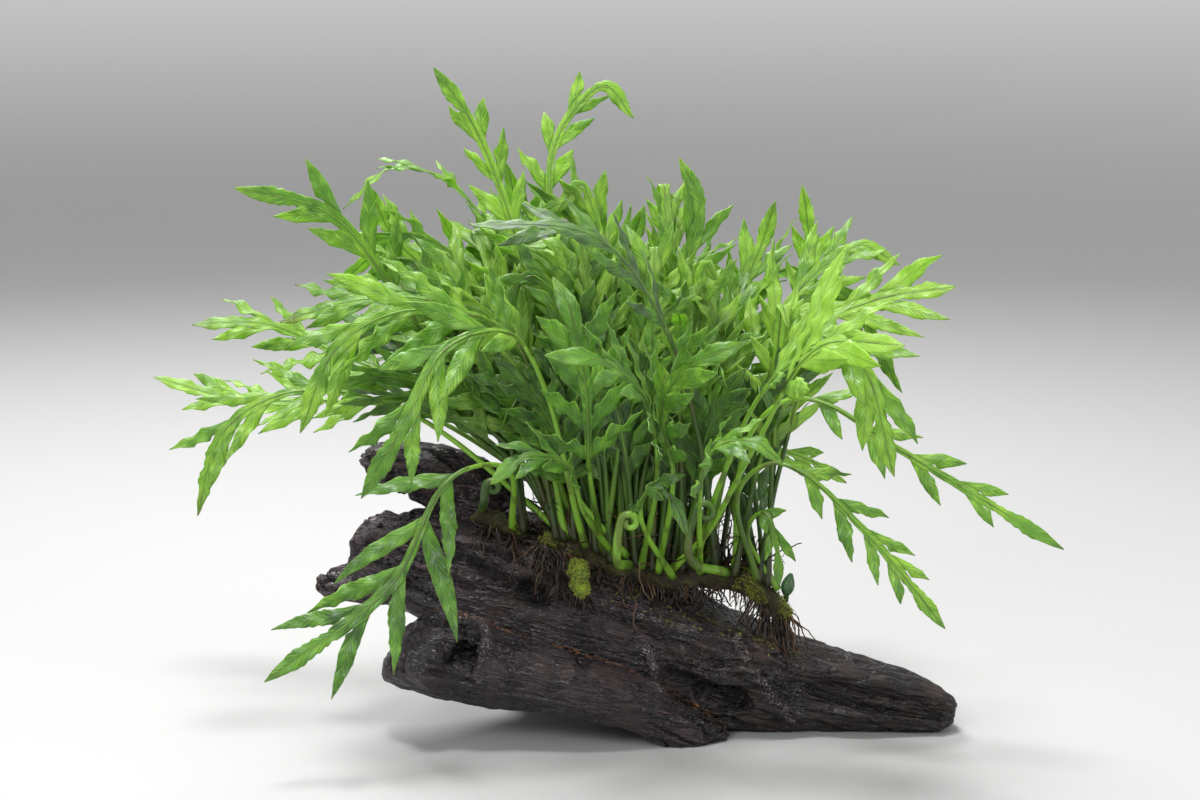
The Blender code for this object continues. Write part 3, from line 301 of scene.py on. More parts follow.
class Frond:
    """One stalk with its lobed blade: where everything on it lies, before any mesh is made."""

    def __init__(self, name, root, points, blade, facing, seed):
        self.name = name
        self.route = Route([root] + list(points))
        self.start, self.pairs, self.lobe_length, self.lobe_width = blade
        self.chance = random.Random(seed)
        middle = 0.5 * (self.start + 1)
        side = -1 if facing >= 0 else 1
        hint = Vector((0, side * abs(facing), 1 - abs(facing))).normalized()
        twist = Quaternion(self.route.ahead(middle), math.radians(self.chance.uniform(-TWIST, TWIST)))
        self.middle = middle
        self.wing = WING * min(1.0, self.lobe_length / WING_LOBE)
        self.face = twist @ self.square_to(hint, self.route.ahead(middle))
        self.spacing = (1 - self.start) / (self.pairs + END_ROOM)
        self.stations = [self.start + self.spacing * (pair + FIRST_STATION)
                         for pair in range(self.pairs)]
        self.lobes = {}
        for pair in range(self.pairs):
            for side in (-1, 1):
                self.lobes[pair, side] = self.plan_lobe(pair)

    @staticmethod
    def square_to(direction, along):
        return (direction - along * direction.dot(along)).normalized()

    def normal(self, share):
        """The way the upper side faces, carried along the curve without twisting."""
        facing = self.face
        steps = max(1, int(abs(share - self.middle) / TURN_STEP))
        before = self.route.ahead(self.middle)
        for step in range(1, steps + 1):
            along = self.route.ahead(self.middle + (share - self.middle) * step / steps)
            facing = before.rotation_difference(along) @ facing
            before = along
        return self.square_to(facing, before)

    def plan_lobe(self, pair):
        """Length, width, opening angle and offset of one lobe, longest at the second pair."""
        fade = 1 - LOBE_FADE * max(0, pair - 1) / max(1, self.pairs - 1)
        grow = FIRST_PAIR if pair == 0 else 1.0
        length = self.lobe_length * fade * grow * self.chance.uniform(*LENGTH_SPREAD)
        width = self.lobe_width * self.chance.uniform(*WIDTH_SPREAD)
        opening = LOBE_OPENING - LOBE_CLOSING * pair / max(1, self.pairs - 1)
        opening += self.chance.uniform(*OPENING_SPREAD)
        return {
            "length": length,
            "width": width,
            "angle": math.radians(opening),
            "droop": self.chance.uniform(*DROOP_SPREAD),
            "shift": self.chance.uniform(*SHIFT_SPREAD) * self.spacing,
        }

    def lobe_route(self, pair, side, lift, scale):
        """Root, knee and tip of a lobe, and the way its upper side faces."""
        lobe = self.lobes[pair, side]
        share = self.stations[pair] + lobe["shift"]
        root = self.route.at(share)
        along = self.route.ahead(share)
        normal = self.normal(share)
        out = normal.cross(along) * side
        tilt = Quaternion(along, math.radians(lift) * side)
        out = tilt @ out
        normal = tilt @ normal
        reach = lobe["length"] * scale
        away = along * math.cos(lobe["angle"]) + out * math.sin(lobe["angle"])
        knee = root + away * reach * LOBE_KNEE
        onward = (away * LOBE_KEEP + along * LOBE_TURN - Vector((0, 0, lobe["droop"]))).normalized()
        tip = knee + onward * reach * (1 - LOBE_KNEE)
        return root, knee, tip, normal

    def end_start(self):
        """The share of the length where the end lobe begins."""
        return self.stations[-1] + 0.5 * self.spacing


def bend(root, knee, tip, share):
    """A point on the curve that leaves root towards knee and ends at tip."""
    return root * (1 - share) ** 2 + knee * 2 * share * (1 - share) + tip * share ** 2


def lobe_marks(frond, pair, side, lift, scale):
    """Two points of a packed lobe: its tip, and its lower edge where it is widest."""
    lobe = frond.lobes[pair, side]
    root, knee, tip, normal = frond.lobe_route(pair, side, lift, scale)
    along = (tip - bend(root, knee, tip, LOBE_LOW)).normalized()
    across = normal.cross(along).normalized() * side
    width = lobe["width"] * min(1.0, SHORT_WIDTH + SHORT_GAIN * scale)
    half = min(0.5 * width, LOBE_SLIM * lobe["length"] * scale)
    return tip, bend(root, knee, tip, LOBE_WIDEST) + across * half


def stalk_rings(frond):
    """Left, top, right and underside of the stalk at its stations, up to the blade."""
    rings = []
    for station in range(STALK_STATIONS):
        step = station / (STALK_STATIONS - 1)
        share = frond.start * step
        radius = mix(STALK_RADIUS, STALK_TOP_RADIUS, step)
        centre = frond.route.at(share)
        normal = frond.normal(share)
        across = normal.cross(frond.route.ahead(share))
        rings.append([centre + across * radius, centre + normal * radius,
                      centre - across * radius, centre - normal * radius])
    return rings


def trials():
    """Moves to try for a frond, the smallest first: along the stem, around it, and of its route."""
    for reach in NUDGE_RINGS:
        for along, around in FOOT_SHIFTS:
            for way in range(NUDGE_WAYS if reach else 1):
                angle = math.tau * way / NUDGE_WAYS
                move = Vector((math.cos(angle), math.sin(angle), NUDGE_RISE)) * reach
                yield along, around, move


def settle(rows, wood):
    """Give each row of a creeping stem the height at which it lies on the wood."""
    trees = [tree_of_object(piece) for piece in wood]
    settled = []
    for x, y, lift, radius in rows:
        hits = [tree.ray_cast(Vector((x, y, SKY)), Vector((0, 0, -1)))[0] for tree in trees]
        top = max(hit.z for hit in hits if hit)
        settled.append((x, y, top + lift + GAP + radius, radius))
    return settled


def stem_route(rows):
    return Route([row[:3] for row in rows])


def stem_radius(rows, share):
    place = share * (len(rows) - 1)
    index = min(int(place), len(rows) - 2)
    return mix(rows[index][3], rows[index + 1][3], place - index)


def stem_point(stem_rows, root):
    """Where a stalk leaves a creeping stem, leaning from straight up towards the viewer."""
    stem, share, lean = root
    rows = stem_rows[stem]
    route = stem_route(rows)
    along = route.ahead(share)
    up = Frond.square_to(Vector((0, 0, 1)), along)
    toward = Frond.square_to(Vector((0, -1, 0)), along)
    angle = math.radians(lean)
    out = (up * math.cos(angle) + toward * math.sin(angle)).normalized()
    return route.at(share) + out * (stem_radius(rows, share) + STALK_RADIUS + GAP)


def back_fronds(stem_rows):
    """Rows for the fronds behind the clump, placed by a rule in place of a table."""
    chance = random.Random(BACK_SEED)
    rows = {}
    for index in range(BACK_COUNT):
        step = index / (BACK_COUNT - 1)
        heading = math.radians(mix(*BACK_HEADINGS, step))
        root = ("rhizome_back", mix(*BACK_SHARES, step), BACK_LEAN)
        foot = stem_point(stem_rows, root)
        reach = chance.uniform(*BACK_REACH)
        arch = chance.uniform(*BACK_ARCH)
        drop = chance.uniform(*BACK_DROP)
        way = Vector((math.cos(heading), math.sin(heading), 0))
        rise = foot + way * reach * BACK_RISE[0] + Vector((0, 0, arch * BACK_RISE[1]))
        crown = foot + way * reach * BACK_CROWN + Vector((0, 0, arch))
        tip = foot + way * reach + Vector((0, 0, arch - drop))
        blade = (BACK_START, BACK_PAIRS[index % 2], *BACK_LOBE)
        rows["back_%d" % (index + 1)] = (root, blade, BACK_FACING, (rise, crown, tip))
    return rows


# Fine leaves. Lengths are in millimetres, shares run from 0 to 1.
MATCH = 0.05            # how far a packed vertex may lie from the place worked out for it
SPINE_STEPS = 64        # places along a frond's midline that are worked out once
BLADE_HALF = 0.17       # half thickness of a leaf blade
EDGE_THINNER = 0.45     # share of it that is lost at the margin
RIB_RAISE = 0.12        # added to it along a lobe's midrib
LOBE_COLUMNS, WING_COLUMNS = 6, 3
LOBE_ROW, WING_ROW, END_ROW = 1.15, 1.5, 1.1    # length of one row of faces
WING_START = 0.8        # half width of the green edge at the blade's first lobes
LOBE_NARROW = 0.9       # width of a fine lobe against its solid's
LOBE_BASE = 0.86        # width of a lobe where it leaves the midrib, as a share of its widest
LOBE_SHOULDER = 0.42    # share of the length where it is widest
LOBE_TAPER = 1.6        # how full it stays from there to the tip
BASE_BLEND = 5.5        # length over which a lobe's foot turns into its own sections
TOOTH = 3.2             # length of one tooth of the margin
TOOTH_DEPTH = (0.05, 0.22)      # share of the half width
TOOTH_TOP = 0.7         # share of a tooth that rises
TOOTH_ROUND = 0.8       # below 1 it bulges
TOOTH_LAG = 0.4         # how far the teeth of the two margins are out of step
END_TOOTH_DEPTH, END_TOOTH_FADE = 0.30, 0.7     # of the end lobe, fading towards its tip
END_TAPER = 1.35        # how full the end lobe stays towards the tip
RUFFLE = (0.7, 1.7)     # height of the margin's waves
RUFFLE_LENGTH = 8.5
RUFFLE_LAG = 1.3        # how far the waves of the two margins are out of step, in radians
RUFFLE_OUTER = 1.6      # above 1 it stays out of the middle of a lobe
RUFFLE_FULL = 2.5       # half width at which the green edge waves in full
FOLD = (-0.12, 0.30)    # how far a lobe's halves fold down, as a slope
CURL = (-1.2, 2.6)      # how far its outer part curls down
CURL_FROM = 0.55        # share of the length where that begins
LOBE_TWIST = 22         # usual turn of a lobe about its own length, in degrees
TWIST_EARLY = 1.2       # how much sooner than at the tip the turn is complete
LOOK_ALONG = 0.03       # share of a lobe over which its direction is taken
CURL_STEEP = 4
LOBE_RUFFLE = (0.6, 1.3)        # a lobe's waves against its frond's
TONE_SPREAD = (-0.08, 0.08)     # of the lobes of one frond
BLADE_LEAD = 0.012      # share of the frond by which the green edge starts below the blade
TIP_HALF = 0.14
BROWN_END = (0.93, 0.06)        # share of the frond where its end turns brown, and over which
BURNT_TIP = 0.16        # share of a lobe's length that turns brown
RIDGE = (0.78, 0.2)     # radius of the midrib at the blade's foot and at its tip
RIB_SIDES, RIB_ROWS = 6, 33
RIB_ENDS = (-0.01, 0.985)       # from the blade's foot, and share of the frond
RIB_FLAT = 0.85         # width of the midrib against its height
# What is stored with points of midribs and stalks where those of a blade have its half width.
RIB_KIND, STALK_KIND = -1.0, -2.0
NOTHING = (0.0, 0.0, 0.0)
STALK_SIDES, STALK_ROWS = 8, 26
STALK_GROW = 0.88       # radius of a fine stalk against its solid's
STALK_SLIMS = 0.7       # below 1 it grows slimmer early on
STALK_ON = 0.02         # share of the frond by which it runs on into the blade
FOOT_SUNK = 2.4         # how far a stalk's foot goes into the creeping stem
FOOT_FLARE, FLARE_LENGTH = 0.2, 2.2
STALK_LUMPS, LUMP_LENGTH = 0.07, 7
STALK_GROOVE = 0.14     # depth of the groove along a stalk's upper side, as a share of the radius
# Columns across a lobe, sides of its midrib and sides of its stalk in the small fronds.
COARSE_GRID = (4, 4, 6)

# How yellow and light a leaf is, from age and painted light: 0 for old leaves in painted shade deep
# inside, 1 for young ones in painted full light.
TONES = {
    "left_front": 0.42, "near_right": 0.92, "dark_arch": 0.16, "left_c": 0.55, "left_b": 0.62,
    "front_mid_a": 0.45, "front_mid_b": 0.42, "front_mid_c": 0.5, "near_right_low": 0.75,
    "right_low_a": 0.62, "right_low_b": 0.6, "hang_right": 0.5, "front_low": 0.4,
    "front_low_right": 0.4, "hang_mid": 0.35, "middle_low_a": 0.28, "middle_low_b": 0.28,
    "left_brown_tip": 0.6, "left_top": 0.62, "left_far_droop": 0.66, "left_arch": 0.6,
    "top_left": 0.72, "top_right": 0.78, "mid_upright": 0.55, "right_upper": 0.85,
    "right_top": 0.8, "right_light": 0.7, "left_mid_a": 0.72, "left_mid_c": 0.78,
    "centre_left": 0.6, "centre_top_a": 0.6, "centre_top_b": 0.66, "right_mid": 0.7,
    "lone_right": 0.82,
}
BACK_TONE = 0.66
STALK_TONES = (-0.1, 0.6)       # added to half of the leaf's tone
# Stalk tones of the back fronds are kept dark as painted shade behind the clump.
SHADED_BACK_STALKS = (-0.5, 0.1)
BROWN_TIPS = {"left_brown_tip": 0.9, "left_front": 0.35, "left_far_droop": 0.4, "left_mid_a": 0.45}
BROWN_ELSEWHERE = 0.12
LOBE_BROWN = (0.2, 0.5, 1.0)    # a lobe's share of its frond's brown


def tree_of_object(source):
    """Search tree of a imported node, in the millimetres of the tables."""
    points = [vert.co / MM + Vector(ORIGIN) for vert in source.data.vertices]
    return BVHTree.FromPolygons(points, [list(face.vertices) for face in source.data.polygons])


def points_of(node):
    """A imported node's vertices as a tree that is asked for the nearest one."""
    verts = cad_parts[node].data.vertices
    tree = kdtree.KDTree(len(verts))
    for index, vert in enumerate(verts):
        tree.insert(vert.co / MM + Vector(ORIGIN), index)
    tree.balance()
    return tree


def has(tree, point):
    return tree.find(point)[2] < MATCH


def packed_frond(number, name, row, stem_rows):
    """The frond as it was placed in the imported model, and the lift and scale of each of its lobes."""
    (stem, share, lean), blade, facing, points = row
    tree = points_of("frond_" + name)
    frond = None
    for along, around, move in trials():
        moves = [move] * (len(points) - 1) + [move * TIP_NUDGE]
        moved = [Vector(point) + step for point, step in zip(points, moves)]
        if not has(tree, moved[-1]):
            continue
        near = min(max(share + along, STEM_ENDS[0]), STEM_ENDS[1])
        foot = stem_point(stem_rows, (stem, near, lean + around))
        made = Frond(name, foot, moved, blade, facing, number)
        if all(has(tree, point) for ring in stalk_rings(made) for point in ring):
            frond = made
            break
    if frond is None:
        print("no match for", name)
        foot = stem_point(stem_rows, row[0])
        frond = Frond(name, foot, [Vector(point) for point in points], blade, facing, number)
    chosen = {}
    for pair, side in frond.lobes:
        chosen[pair, side] = None
        for scale in LOBE_SCALES:
            for lift in LOBE_LIFTS:
                marks = lobe_marks(frond, pair, side, lift, scale)
                if not chosen[pair, side] and all(has(tree, mark) for mark in marks):
                    chosen[pair, side] = (lift, scale)
    return frond, chosen


class Spine:
    """The midline of a frond, sampled once: points, directions and the way the upper side faces."""

    def __init__(self, frond):
        shares = [step / SPINE_STEPS for step in range(SPINE_STEPS + 1)]
        self.points = [frond.route.at(share) for share in shares]
        self.ahead = [frond.route.ahead(share) for share in shares]
        self.normals = [frond.normal(share) for share in shares]

    def at(self, share):
        place = min(max(share, 0.0), 1.0) * SPINE_STEPS
        low = min(int(place), SPINE_STEPS - 1)
        part = place - low
        ahead = self.ahead[low].lerp(self.ahead[low + 1], part).normalized()
        normal = Frond.square_to(self.normals[low].lerp(self.normals[low + 1], part), ahead)
        return self.points[low].lerp(self.points[low + 1], part), ahead, normal


def store(mesh, key, values):
    """Keep three numbers with every point, for the materials."""
    attribute = mesh.attributes.new(key, "FLOAT_VECTOR", "POINT")
    attribute.data.foreach_set("vector", np.array(values, dtype=np.float32).ravel())


def hand_over(name, mesh, materials, replaced):
    """A finished mesh as a named piece that rides on the root body."""
    for material in materials:
        mesh.materials.append(material)
    made = bpy.data.objects.new(name, mesh)
    bpy.context.scene.collection.objects.link(made)
    if replaced:
        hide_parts(*replaced)
    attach(made, "root")
    return made


class Net:
    """Points and faces of a mesh, each point with up to two sets of numbers for its material.

    For a blade they are the run along it, the place across it and its half width, then tone, share
    of brown and phase. For a stalk they are the kind as the third, then tone and height.
    """

    def __init__(self):
        self.points = []
        self.place = []
        self.shade = []
        self.faces = []
        self.flat = []
        self.kinds = []
        self.kind = 0

    def add(self, point, place=NOTHING, shade=NOTHING):
        self.points.append(point)
        self.place.append(place)
        self.shade.append(shade)
        return len(self.points) - 1

    def face(self, corners, flat=False):
        self.faces.append(corners)
        self.flat.append(flat)
        self.kinds.append(self.kind)

    def loft(self, loops):
        """Skin through loops of point numbers of equal count, with a cap over each end."""
        count = len(loops[0])
        for here, after in zip(loops, loops[1:]):
            for side in range(count):
                beside = (side + 1) % count
                self.face((here[side], here[beside], after[beside], after[side]))
        self.face(tuple(reversed(loops[0])))
        self.face(tuple(loops[-1]))

    def object(self, name, materials, slot_name, replaced=()):
        """The net as a piece, with one material or with one for each kind of face."""
        mesh = bpy.data.meshes.new(name)
        shift = Vector(ORIGIN)
        mesh.from_pydata([(point - shift) * MM for point in self.points], [], self.faces)
        mesh.validate()
        body = bmesh.new()
        body.from_mesh(mesh)
        bmesh.ops.recalc_face_normals(body, faces=body.faces)
        body.to_mesh(mesh)
        body.free()
        mesh.polygons.foreach_set("use_smooth", [not flat for flat in self.flat])
        mesh.polygons.foreach_set("material_index", self.kinds)
        store(mesh, "place", self.place)
        store(mesh, "shade", self.shade)
        finishes = materials if isinstance(materials, tuple) else (materials,)
        return hand_over(name, mesh, finishes, replaced)


class Sheet:
    """One net of points that is given thickness to both sides and a rim round its edge."""

    def __init__(self):
        self.points = []
        self.faces = []

    def add(self, point, normal, thick, place, shade):
        self.points.append((point, normal, thick, place, shade))
        return len(self.points) - 1

    def face(self, corners, side):
        self.faces.append(corners if side > 0 else tuple(reversed(corners)))

    def close(self, net):
        top = [net.add(point + normal * thick, place, shade)
               for point, normal, thick, place, shade in self.points]
        under = [net.add(point - normal * thick, place, shade)
                 for point, normal, thick, place, shade in self.points]
        edges = set()
        for corners in self.faces:
            net.face(tuple(top[corner] for corner in corners))
            net.face(tuple(under[corner] for corner in reversed(corners)))
            edges.update(zip(corners, corners[1:] + corners[:1]))
        for start, end in sorted(edges):
            if (end, start) not in edges:
                net.face((top[end], top[start], under[start], under[end]), flat=True)


def tooth(run):
    """The margin's saw of soft teeth that point forward, 0 to 1."""
    part = run % 1.0
    rising = part / TOOTH_TOP if part < TOOTH_TOP else (1 - part) / (1 - TOOTH_TOP)
    return rising ** TOOTH_ROUND


class Leaf:
    """One fine frond: its stalk, midrib and toothed lobes."""

    def __init__(self, frond, chosen, tone, brown, net=None, coarse=1.0):
        self.frond = frond
        self.chosen = chosen
        self.tone = tone
        self.brown = brown
        self.spine = Spine(frond)
        self.chance = random.Random(frond.name)
        self.length = frond.route.length
        self.net = net or Net()
        self.coarse = coarse
        grid = (LOBE_COLUMNS, RIB_SIDES, STALK_SIDES) if coarse == 1.0 else COARSE_GRID
        self.columns, self.rib_sides, self.stalk_sides = grid
        self.ruffle = self.chance.uniform(*RUFFLE)
        self.stalk_tone = tone * 0.5 + self.chance.uniform(*STALK_TONES)

    def edge_half(self, share):
        """Half width of the blade without its side lobes."""
        frond = self.frond
        grown = smooth((share - frond.start) / (frond.end_start() - frond.start))
        wing = mix(WING_START, frond.wing, grown)
        end = (share - frond.end_start()) / (1 - frond.end_start())
        if end <= 0:
            return wing
        widest = 0.5 * frond.lobe_width
        if end < END_LOBE:
            half = mix(wing, widest, smooth(end / END_LOBE))
        else:
            half = mix(widest, TIP_HALF, ((end - END_LOBE) / (1 - END_LOBE)) ** END_TAPER)
        depth = END_TOOTH_DEPTH * (1 - end) ** END_TOOTH_FADE
        run = end * (1 - frond.end_start()) * self.length
        return max(TIP_HALF, half * (1 - depth + depth * tooth(run / TOOTH)))

    def stations(self, side):
        """Shares along one side of the blade, and where each lobe's foot begins among them."""
        frond = self.frond
        shares = []
        feet = {}
        here = frond.start - BLADE_LEAD
        foot = min(LOBE_FOOT / self.length, FOOT_MOST * frond.spacing)
        for pair in range(frond.pairs):
            if not self.chosen[pair, side]:
                continue
            root = frond.stations[pair] + frond.lobes[pair, side]["shift"]
            low, high = root - FOOT_BELOW * foot, root + (1 - FOOT_BELOW) * foot
            steps = max(1, round((low - here) * self.length / WING_ROW / self.coarse))
            shares += [mix(here, low, step / steps) for step in range(steps)]
            feet[pair] = len(shares)
            shares += [mix(low, high, step / self.columns) for step in range(self.columns)]
            here = high
        steps = max(1, round((1 - here) * self.length / END_ROW / self.coarse))
        shares += [mix(here, 1, step / steps) for step in range(steps + 1)]
        return shares, feet

    def half_blade(self, side):
        """One side of the blade from the midrib out, with its lobes."""
        sheet = Sheet()
        shares, feet = self.stations(side)
        rows = []
        phase = self.chance.uniform(0, math.tau)
        for index, share in enumerate(shares):
            point, ahead, normal = self.spine.at(share)
            across = normal.cross(ahead) * side
            half = self.edge_half(share)
            run = share * self.length
            row = []
            for column in range(WING_COLUMNS + 1):
                out = column / WING_COLUMNS
                wave = math.sin(run / RUFFLE_LENGTH * math.tau + phase) * out * out
                lift = normal * (wave * self.ruffle * 0.5 * min(1.0, half / RUFFLE_FULL))
                spot = point + across * (half * out) + lift
                thick = BLADE_HALF * (1 - EDGE_THINNER * out)
                brown = self.brown * smooth((share - BROWN_END[0]) / BROWN_END[1])
                row.append(sheet.add(spot, normal, thick, (run, out * side * half, half),
                                     (self.tone, brown, phase)))
            rows.append(row)
        for here, after in zip(rows, rows[1:]):
            for column in range(WING_COLUMNS):
                sheet.face((here[column], here[column + 1], after[column + 1], after[column]), side)
        for pair, first in feet.items():
            foot = [rows[first + step][-1] for step in range(self.columns + 1)]
            self.lobe(sheet, pair, side, foot)
        sheet.close(self.net)

    def lobe(self, sheet, pair, side, foot):
        """A grid that grows out of the edge between two axils and runs out to the lobe's tip."""
        frond = self.frond
        lift, scale = self.chosen[pair, side]
        root, knee, tip, face = frond.lobe_route(pair, side, lift, scale)
        reach = (knee - root).length + (tip - knee).length
        widest = 0.5 * LOBE_NARROW * frond.lobes[pair, side]["width"]
        widest *= min(1.0, SHORT_WIDTH + SHORT_GAIN * scale)
        start = frond.wing / reach
        steps = max(6, round(reach * (1 - start) / LOBE_ROW / self.coarse))
        phase = self.chance.uniform(0, math.tau)
        fold = self.chance.uniform(*FOLD)
        depth = self.chance.uniform(*TOOTH_DEPTH)
        ruffle = self.ruffle * self.chance.uniform(*LOBE_RUFFLE)
        tone = self.tone + self.chance.uniform(*TONE_SPREAD)
        brown = self.brown * self.chance.choice(LOBE_BROWN)
        curl = self.chance.uniform(*CURL)
        twist = math.radians(self.chance.gauss(0, LOBE_TWIST))
        edge = [sheet.points[corner] for corner in foot]
        away = (bend(root, knee, tip, start + 0.08) - bend(root, knee, tip, start)).normalized()
        rows = [foot]
        for step in range(1, steps + 1):
            share = mix(start, 1.0, step / steps)
            centre = bend(root, knee, tip, share)
            ahead = (bend(root, knee, tip, min(1.0, share + LOOK_ALONG))
                     - bend(root, knee, tip, share - LOOK_ALONG)).normalized()
            flat = Frond.square_to(face, ahead)
            level = flat.cross(ahead) * side
            turn = twist * smooth(share * TWIST_EARLY)
            across = level * math.cos(turn) + flat * math.sin(turn)
            normal = flat * math.cos(turn) - level * math.sin(turn)
            if share < LOBE_SHOULDER:
                profile = mix(LOBE_BASE, 1.0, smooth(share / LOBE_SHOULDER))
            else:
                profile = 1 - ((share - LOBE_SHOULDER) / (1 - LOBE_SHOULDER)) ** LOBE_TAPER
            run = share * reach
            out_here = (share - start) * reach
            blend_here = smooth(out_here / BASE_BLEND)
            row = []
            for column in range(self.columns + 1):
                out = 1 - 2 * column / self.columns
                left = out > 0
                saw = 1 - depth + depth * tooth(run / TOOTH + TOOTH_LAG * left + phase)
                half = max(TIP_HALF, widest * profile * saw)
                wave = math.sin(run / RUFFLE_LENGTH * math.tau + phase + RUFFLE_LAG * left)
                rise = abs(out) ** RUFFLE_OUTER * ruffle * wave * smooth(half / widest)
                rise += -fold * abs(out) * half
                rise -= curl * max(0.0, share - CURL_FROM) ** 2 * CURL_STEEP
                spot = centre + across * (half * out) + normal * rise
                from_edge = edge[column][0] + away * out_here
                spot = from_edge.lerp(spot, blend_here)
                facing = edge[column][1].lerp(normal, blend_here).normalized()
                thick = BLADE_HALF * (1 - EDGE_THINNER * abs(out))
                if 2 * column == self.columns:
                    thick += RIB_RAISE * (1 - share)
                burnt = brown * smooth((share - 1 + BURNT_TIP) / BURNT_TIP)
                row.append(sheet.add(spot, facing, thick, (run, out * half, half),
                                     (tone, burnt, phase)))
            rows.append(row)
        for here, after in zip(rows, rows[1:]):
            for column in range(self.columns):
                sheet.face((here[column], after[column], after[column + 1], here[column + 1]), side)

    def midrib(self):
        """The round rib along the blade, and the stalk that it goes on from."""
        self.net.kind = 1
        self.rib()
        self.stalk()
        self.net.kind = 0

    def rib(self):
        start = self.frond.start
        loops = []
        count = round(RIB_ROWS / self.coarse)
        for step in range(count + 1):
            share = mix(start + RIB_ENDS[0], RIB_ENDS[1], step / count)
            point, ahead, normal = self.spine.at(share)
            across = normal.cross(ahead)
            radius = mix(*RIDGE, (share - start) / (1 - start))
            loop = []
            for turn in turns(self.rib_sides):
                out = across * math.cos(turn) * RIB_FLAT + normal * math.sin(turn)
                loop.append(self.net.add(point + out * radius, (0.0, 0.0, RIB_KIND),
                                         (self.tone, 0.0, 0.0)))
            loops.append(loop)
        self.net.loft(loops)

    def stalk(self):
        start = self.frond.start
        loops = []
        phase = self.chance.uniform(0, 100)
        count = round(STALK_ROWS / self.coarse)
        for step in range(count + 1):
            share = max(0.0, (step - 1) / (count - 1)) * (start + STALK_ON)
            point, ahead, normal = self.spine.at(share)
            if step == 0:
                point = point - ahead * FOOT_SUNK
            across = normal.cross(ahead)
            grown = min(1.0, share / start)
            radius = mix(STALK_RADIUS, STALK_TOP_RADIUS, grown ** STALK_SLIMS) * STALK_GROW
            radius += FOOT_FLARE * math.exp(-share * self.length / FLARE_LENGTH)
            loop = []
            for turn in turns(self.stalk_sides):
                where = Vector((share * self.length / LUMP_LENGTH, turn, phase))
                lump = 1 + STALK_LUMPS * noise.noise(where)
                groove = 1 - STALK_GROOVE * max(0.0, math.sin(turn)) ** 4 * grown
                out = across * math.cos(turn) + normal * math.sin(turn) * groove
                loop.append(self.net.add(point + out * radius * lump, (0.0, 0.0, STALK_KIND),
                                         (self.stalk_tone, grown, 0.0)))
            loops.append(loop)
        self.net.loft(loops)

    def grow(self):
        for side in (1, -1):
            self.half_blade(side)
        self.midrib()
        return self.net


# Small growth on the stems and the wood.
TUBE_HINT = (0.12, 0.2, 1)      # the way that a tube's first side faces
ROOTS_SEED = 21
ROOT_STEP = 1.7
ROOT_STRAY = 0.30       # how much a root wanders at each step
ROOT_STRAYS = (0.4, 0.3, 0.2)   # how much the ways differ in which roots set off, in x, y and z
ROOT_FOOT = 0.7         # share of the stem's radius at which a root leaves it
ROOT_LOW = 0.18         # least height above the wood
ROOT_FLOOR = 0.3        # and above the floor
ROOT_TAPER = 0.6        # share of the radius that is lost at its end
ROOT_TONES = 2.2        # above 1, more roots are dark than light
ROOT_SIDES, ROOTLET_SIDES = 4, 3
# Kinds of roots: creeping stem, its share from and to, count, way they set off (toward the viewer
# and down), length from and to, highest height above the wood, pull downward.
ROOT_KINDS = (
    ("rhizome_main", 0.00, 0.15, 150, (0.9, 0.5), (10, 24), 3.8, 0.34),
    ("rhizome_main", 0.14, 0.60, 70, (0.8, 0.5), (3, 9), 0.6, 0.25),
    ("rhizome_main", 0.50, 0.86, 40, (0.5, 0.9), (3, 9), 0.4, 0.22),
    ("rhizome_main", 0.84, 0.98, 80, (0.25, 0.9), (10, 24), 0.5, 0.22),
    ("rhizome_left", 0.05, 0.95, 26, (0.6, 0.4), (8, 20), 0.4, 0.25),
    ("rhizome_main", 0.02, 0.98, 90, (-0.5, 0.3), (8, 26), 0.5, 0.25),
    ("rhizome_back", 0.03, 0.97, 90, (-0.2, 0.3), (8, 26), 0.5, 0.25),
    ("rhizome_main", 0.04, 0.78, 260, (-0.4, -1.0), (8, 28), 0.3, -0.05),
    ("rhizome_back", 0.04, 0.80, 200, (0.3, -1.0), (8, 28), 0.3, -0.05),
)
ROOT_RADIUS = (0.22, 0.46)
ROOTLETS = 360
ROOTLET_LENGTH = (2.5, 7)
ROOTLET_RADIUS, ROOTLET_TAPER = 0.13, 0.07
ROOTLET_LOW, ROOTLET_FALL = 0.12, 0.2
# Moss on the stems: stem, share from and to, count of tufts, size of a leaflet.
MOSS_KINDS = (
    ("rhizome_main", 0.74, 1.0, 700, 1.5),
    ("rhizome_main", 0.0, 0.14, 300, 1.3),
    ("rhizome_main", 0.14, 0.74, 170, 1.0),
    ("rhizome_left", 0.0, 1.0, 150, 1.0),
    ("rhizome_back", 0.0, 1.0, 200, 1.2),
)
MOSS_SEED = 31
MOSS_UNDER = -0.6       # moss grows where the way out of a stem rises at least so much
MOSS_PATCH, MOSS_BARE = 6, -0.25        # size of its patches, and what stays bare
# Size of a tuft against its kind's and tone, each with what the middle of a patch adds.
PATCH_SIZE, PATCH_TONE, PATCH_GAIN = 0.8, 0.35, 0.5
STUB_MOSS, STUB_LEAFLET, STUB_TONE = 420, 1.1, 0.85
# Moss on the wood beside the main stem: count, spread in x, place and spread in y, way down, size
# and tone.
WOOD_MOSS = 260
WOOD_MOSS_X, WOOD_MOSS_Y, WOOD_MOSS_Z = (0, 5), (-5, 5), (-14, 0)
WOOD_LEAFLET, WOOD_TONES = (0.5, 1.1), (0.1, 0.8)
TUFT_LEAFLETS = (3, 4, 5)
TUFT_STRAY, TUFT_ASIDE = 0.55, (0.1, 0.2, 0.3)  # of the leaflets, and of the way their flats face
TUFT_TONES = (-0.2, 0.2)
LEAFLET_HALF, LEAFLET_CORNER = 0.2, 0.6 # half width, and the share of it at the two back corners
LEAFLET_LENGTHS = (0.7, 1.3)
LEAFLET_SUNK = 0.15
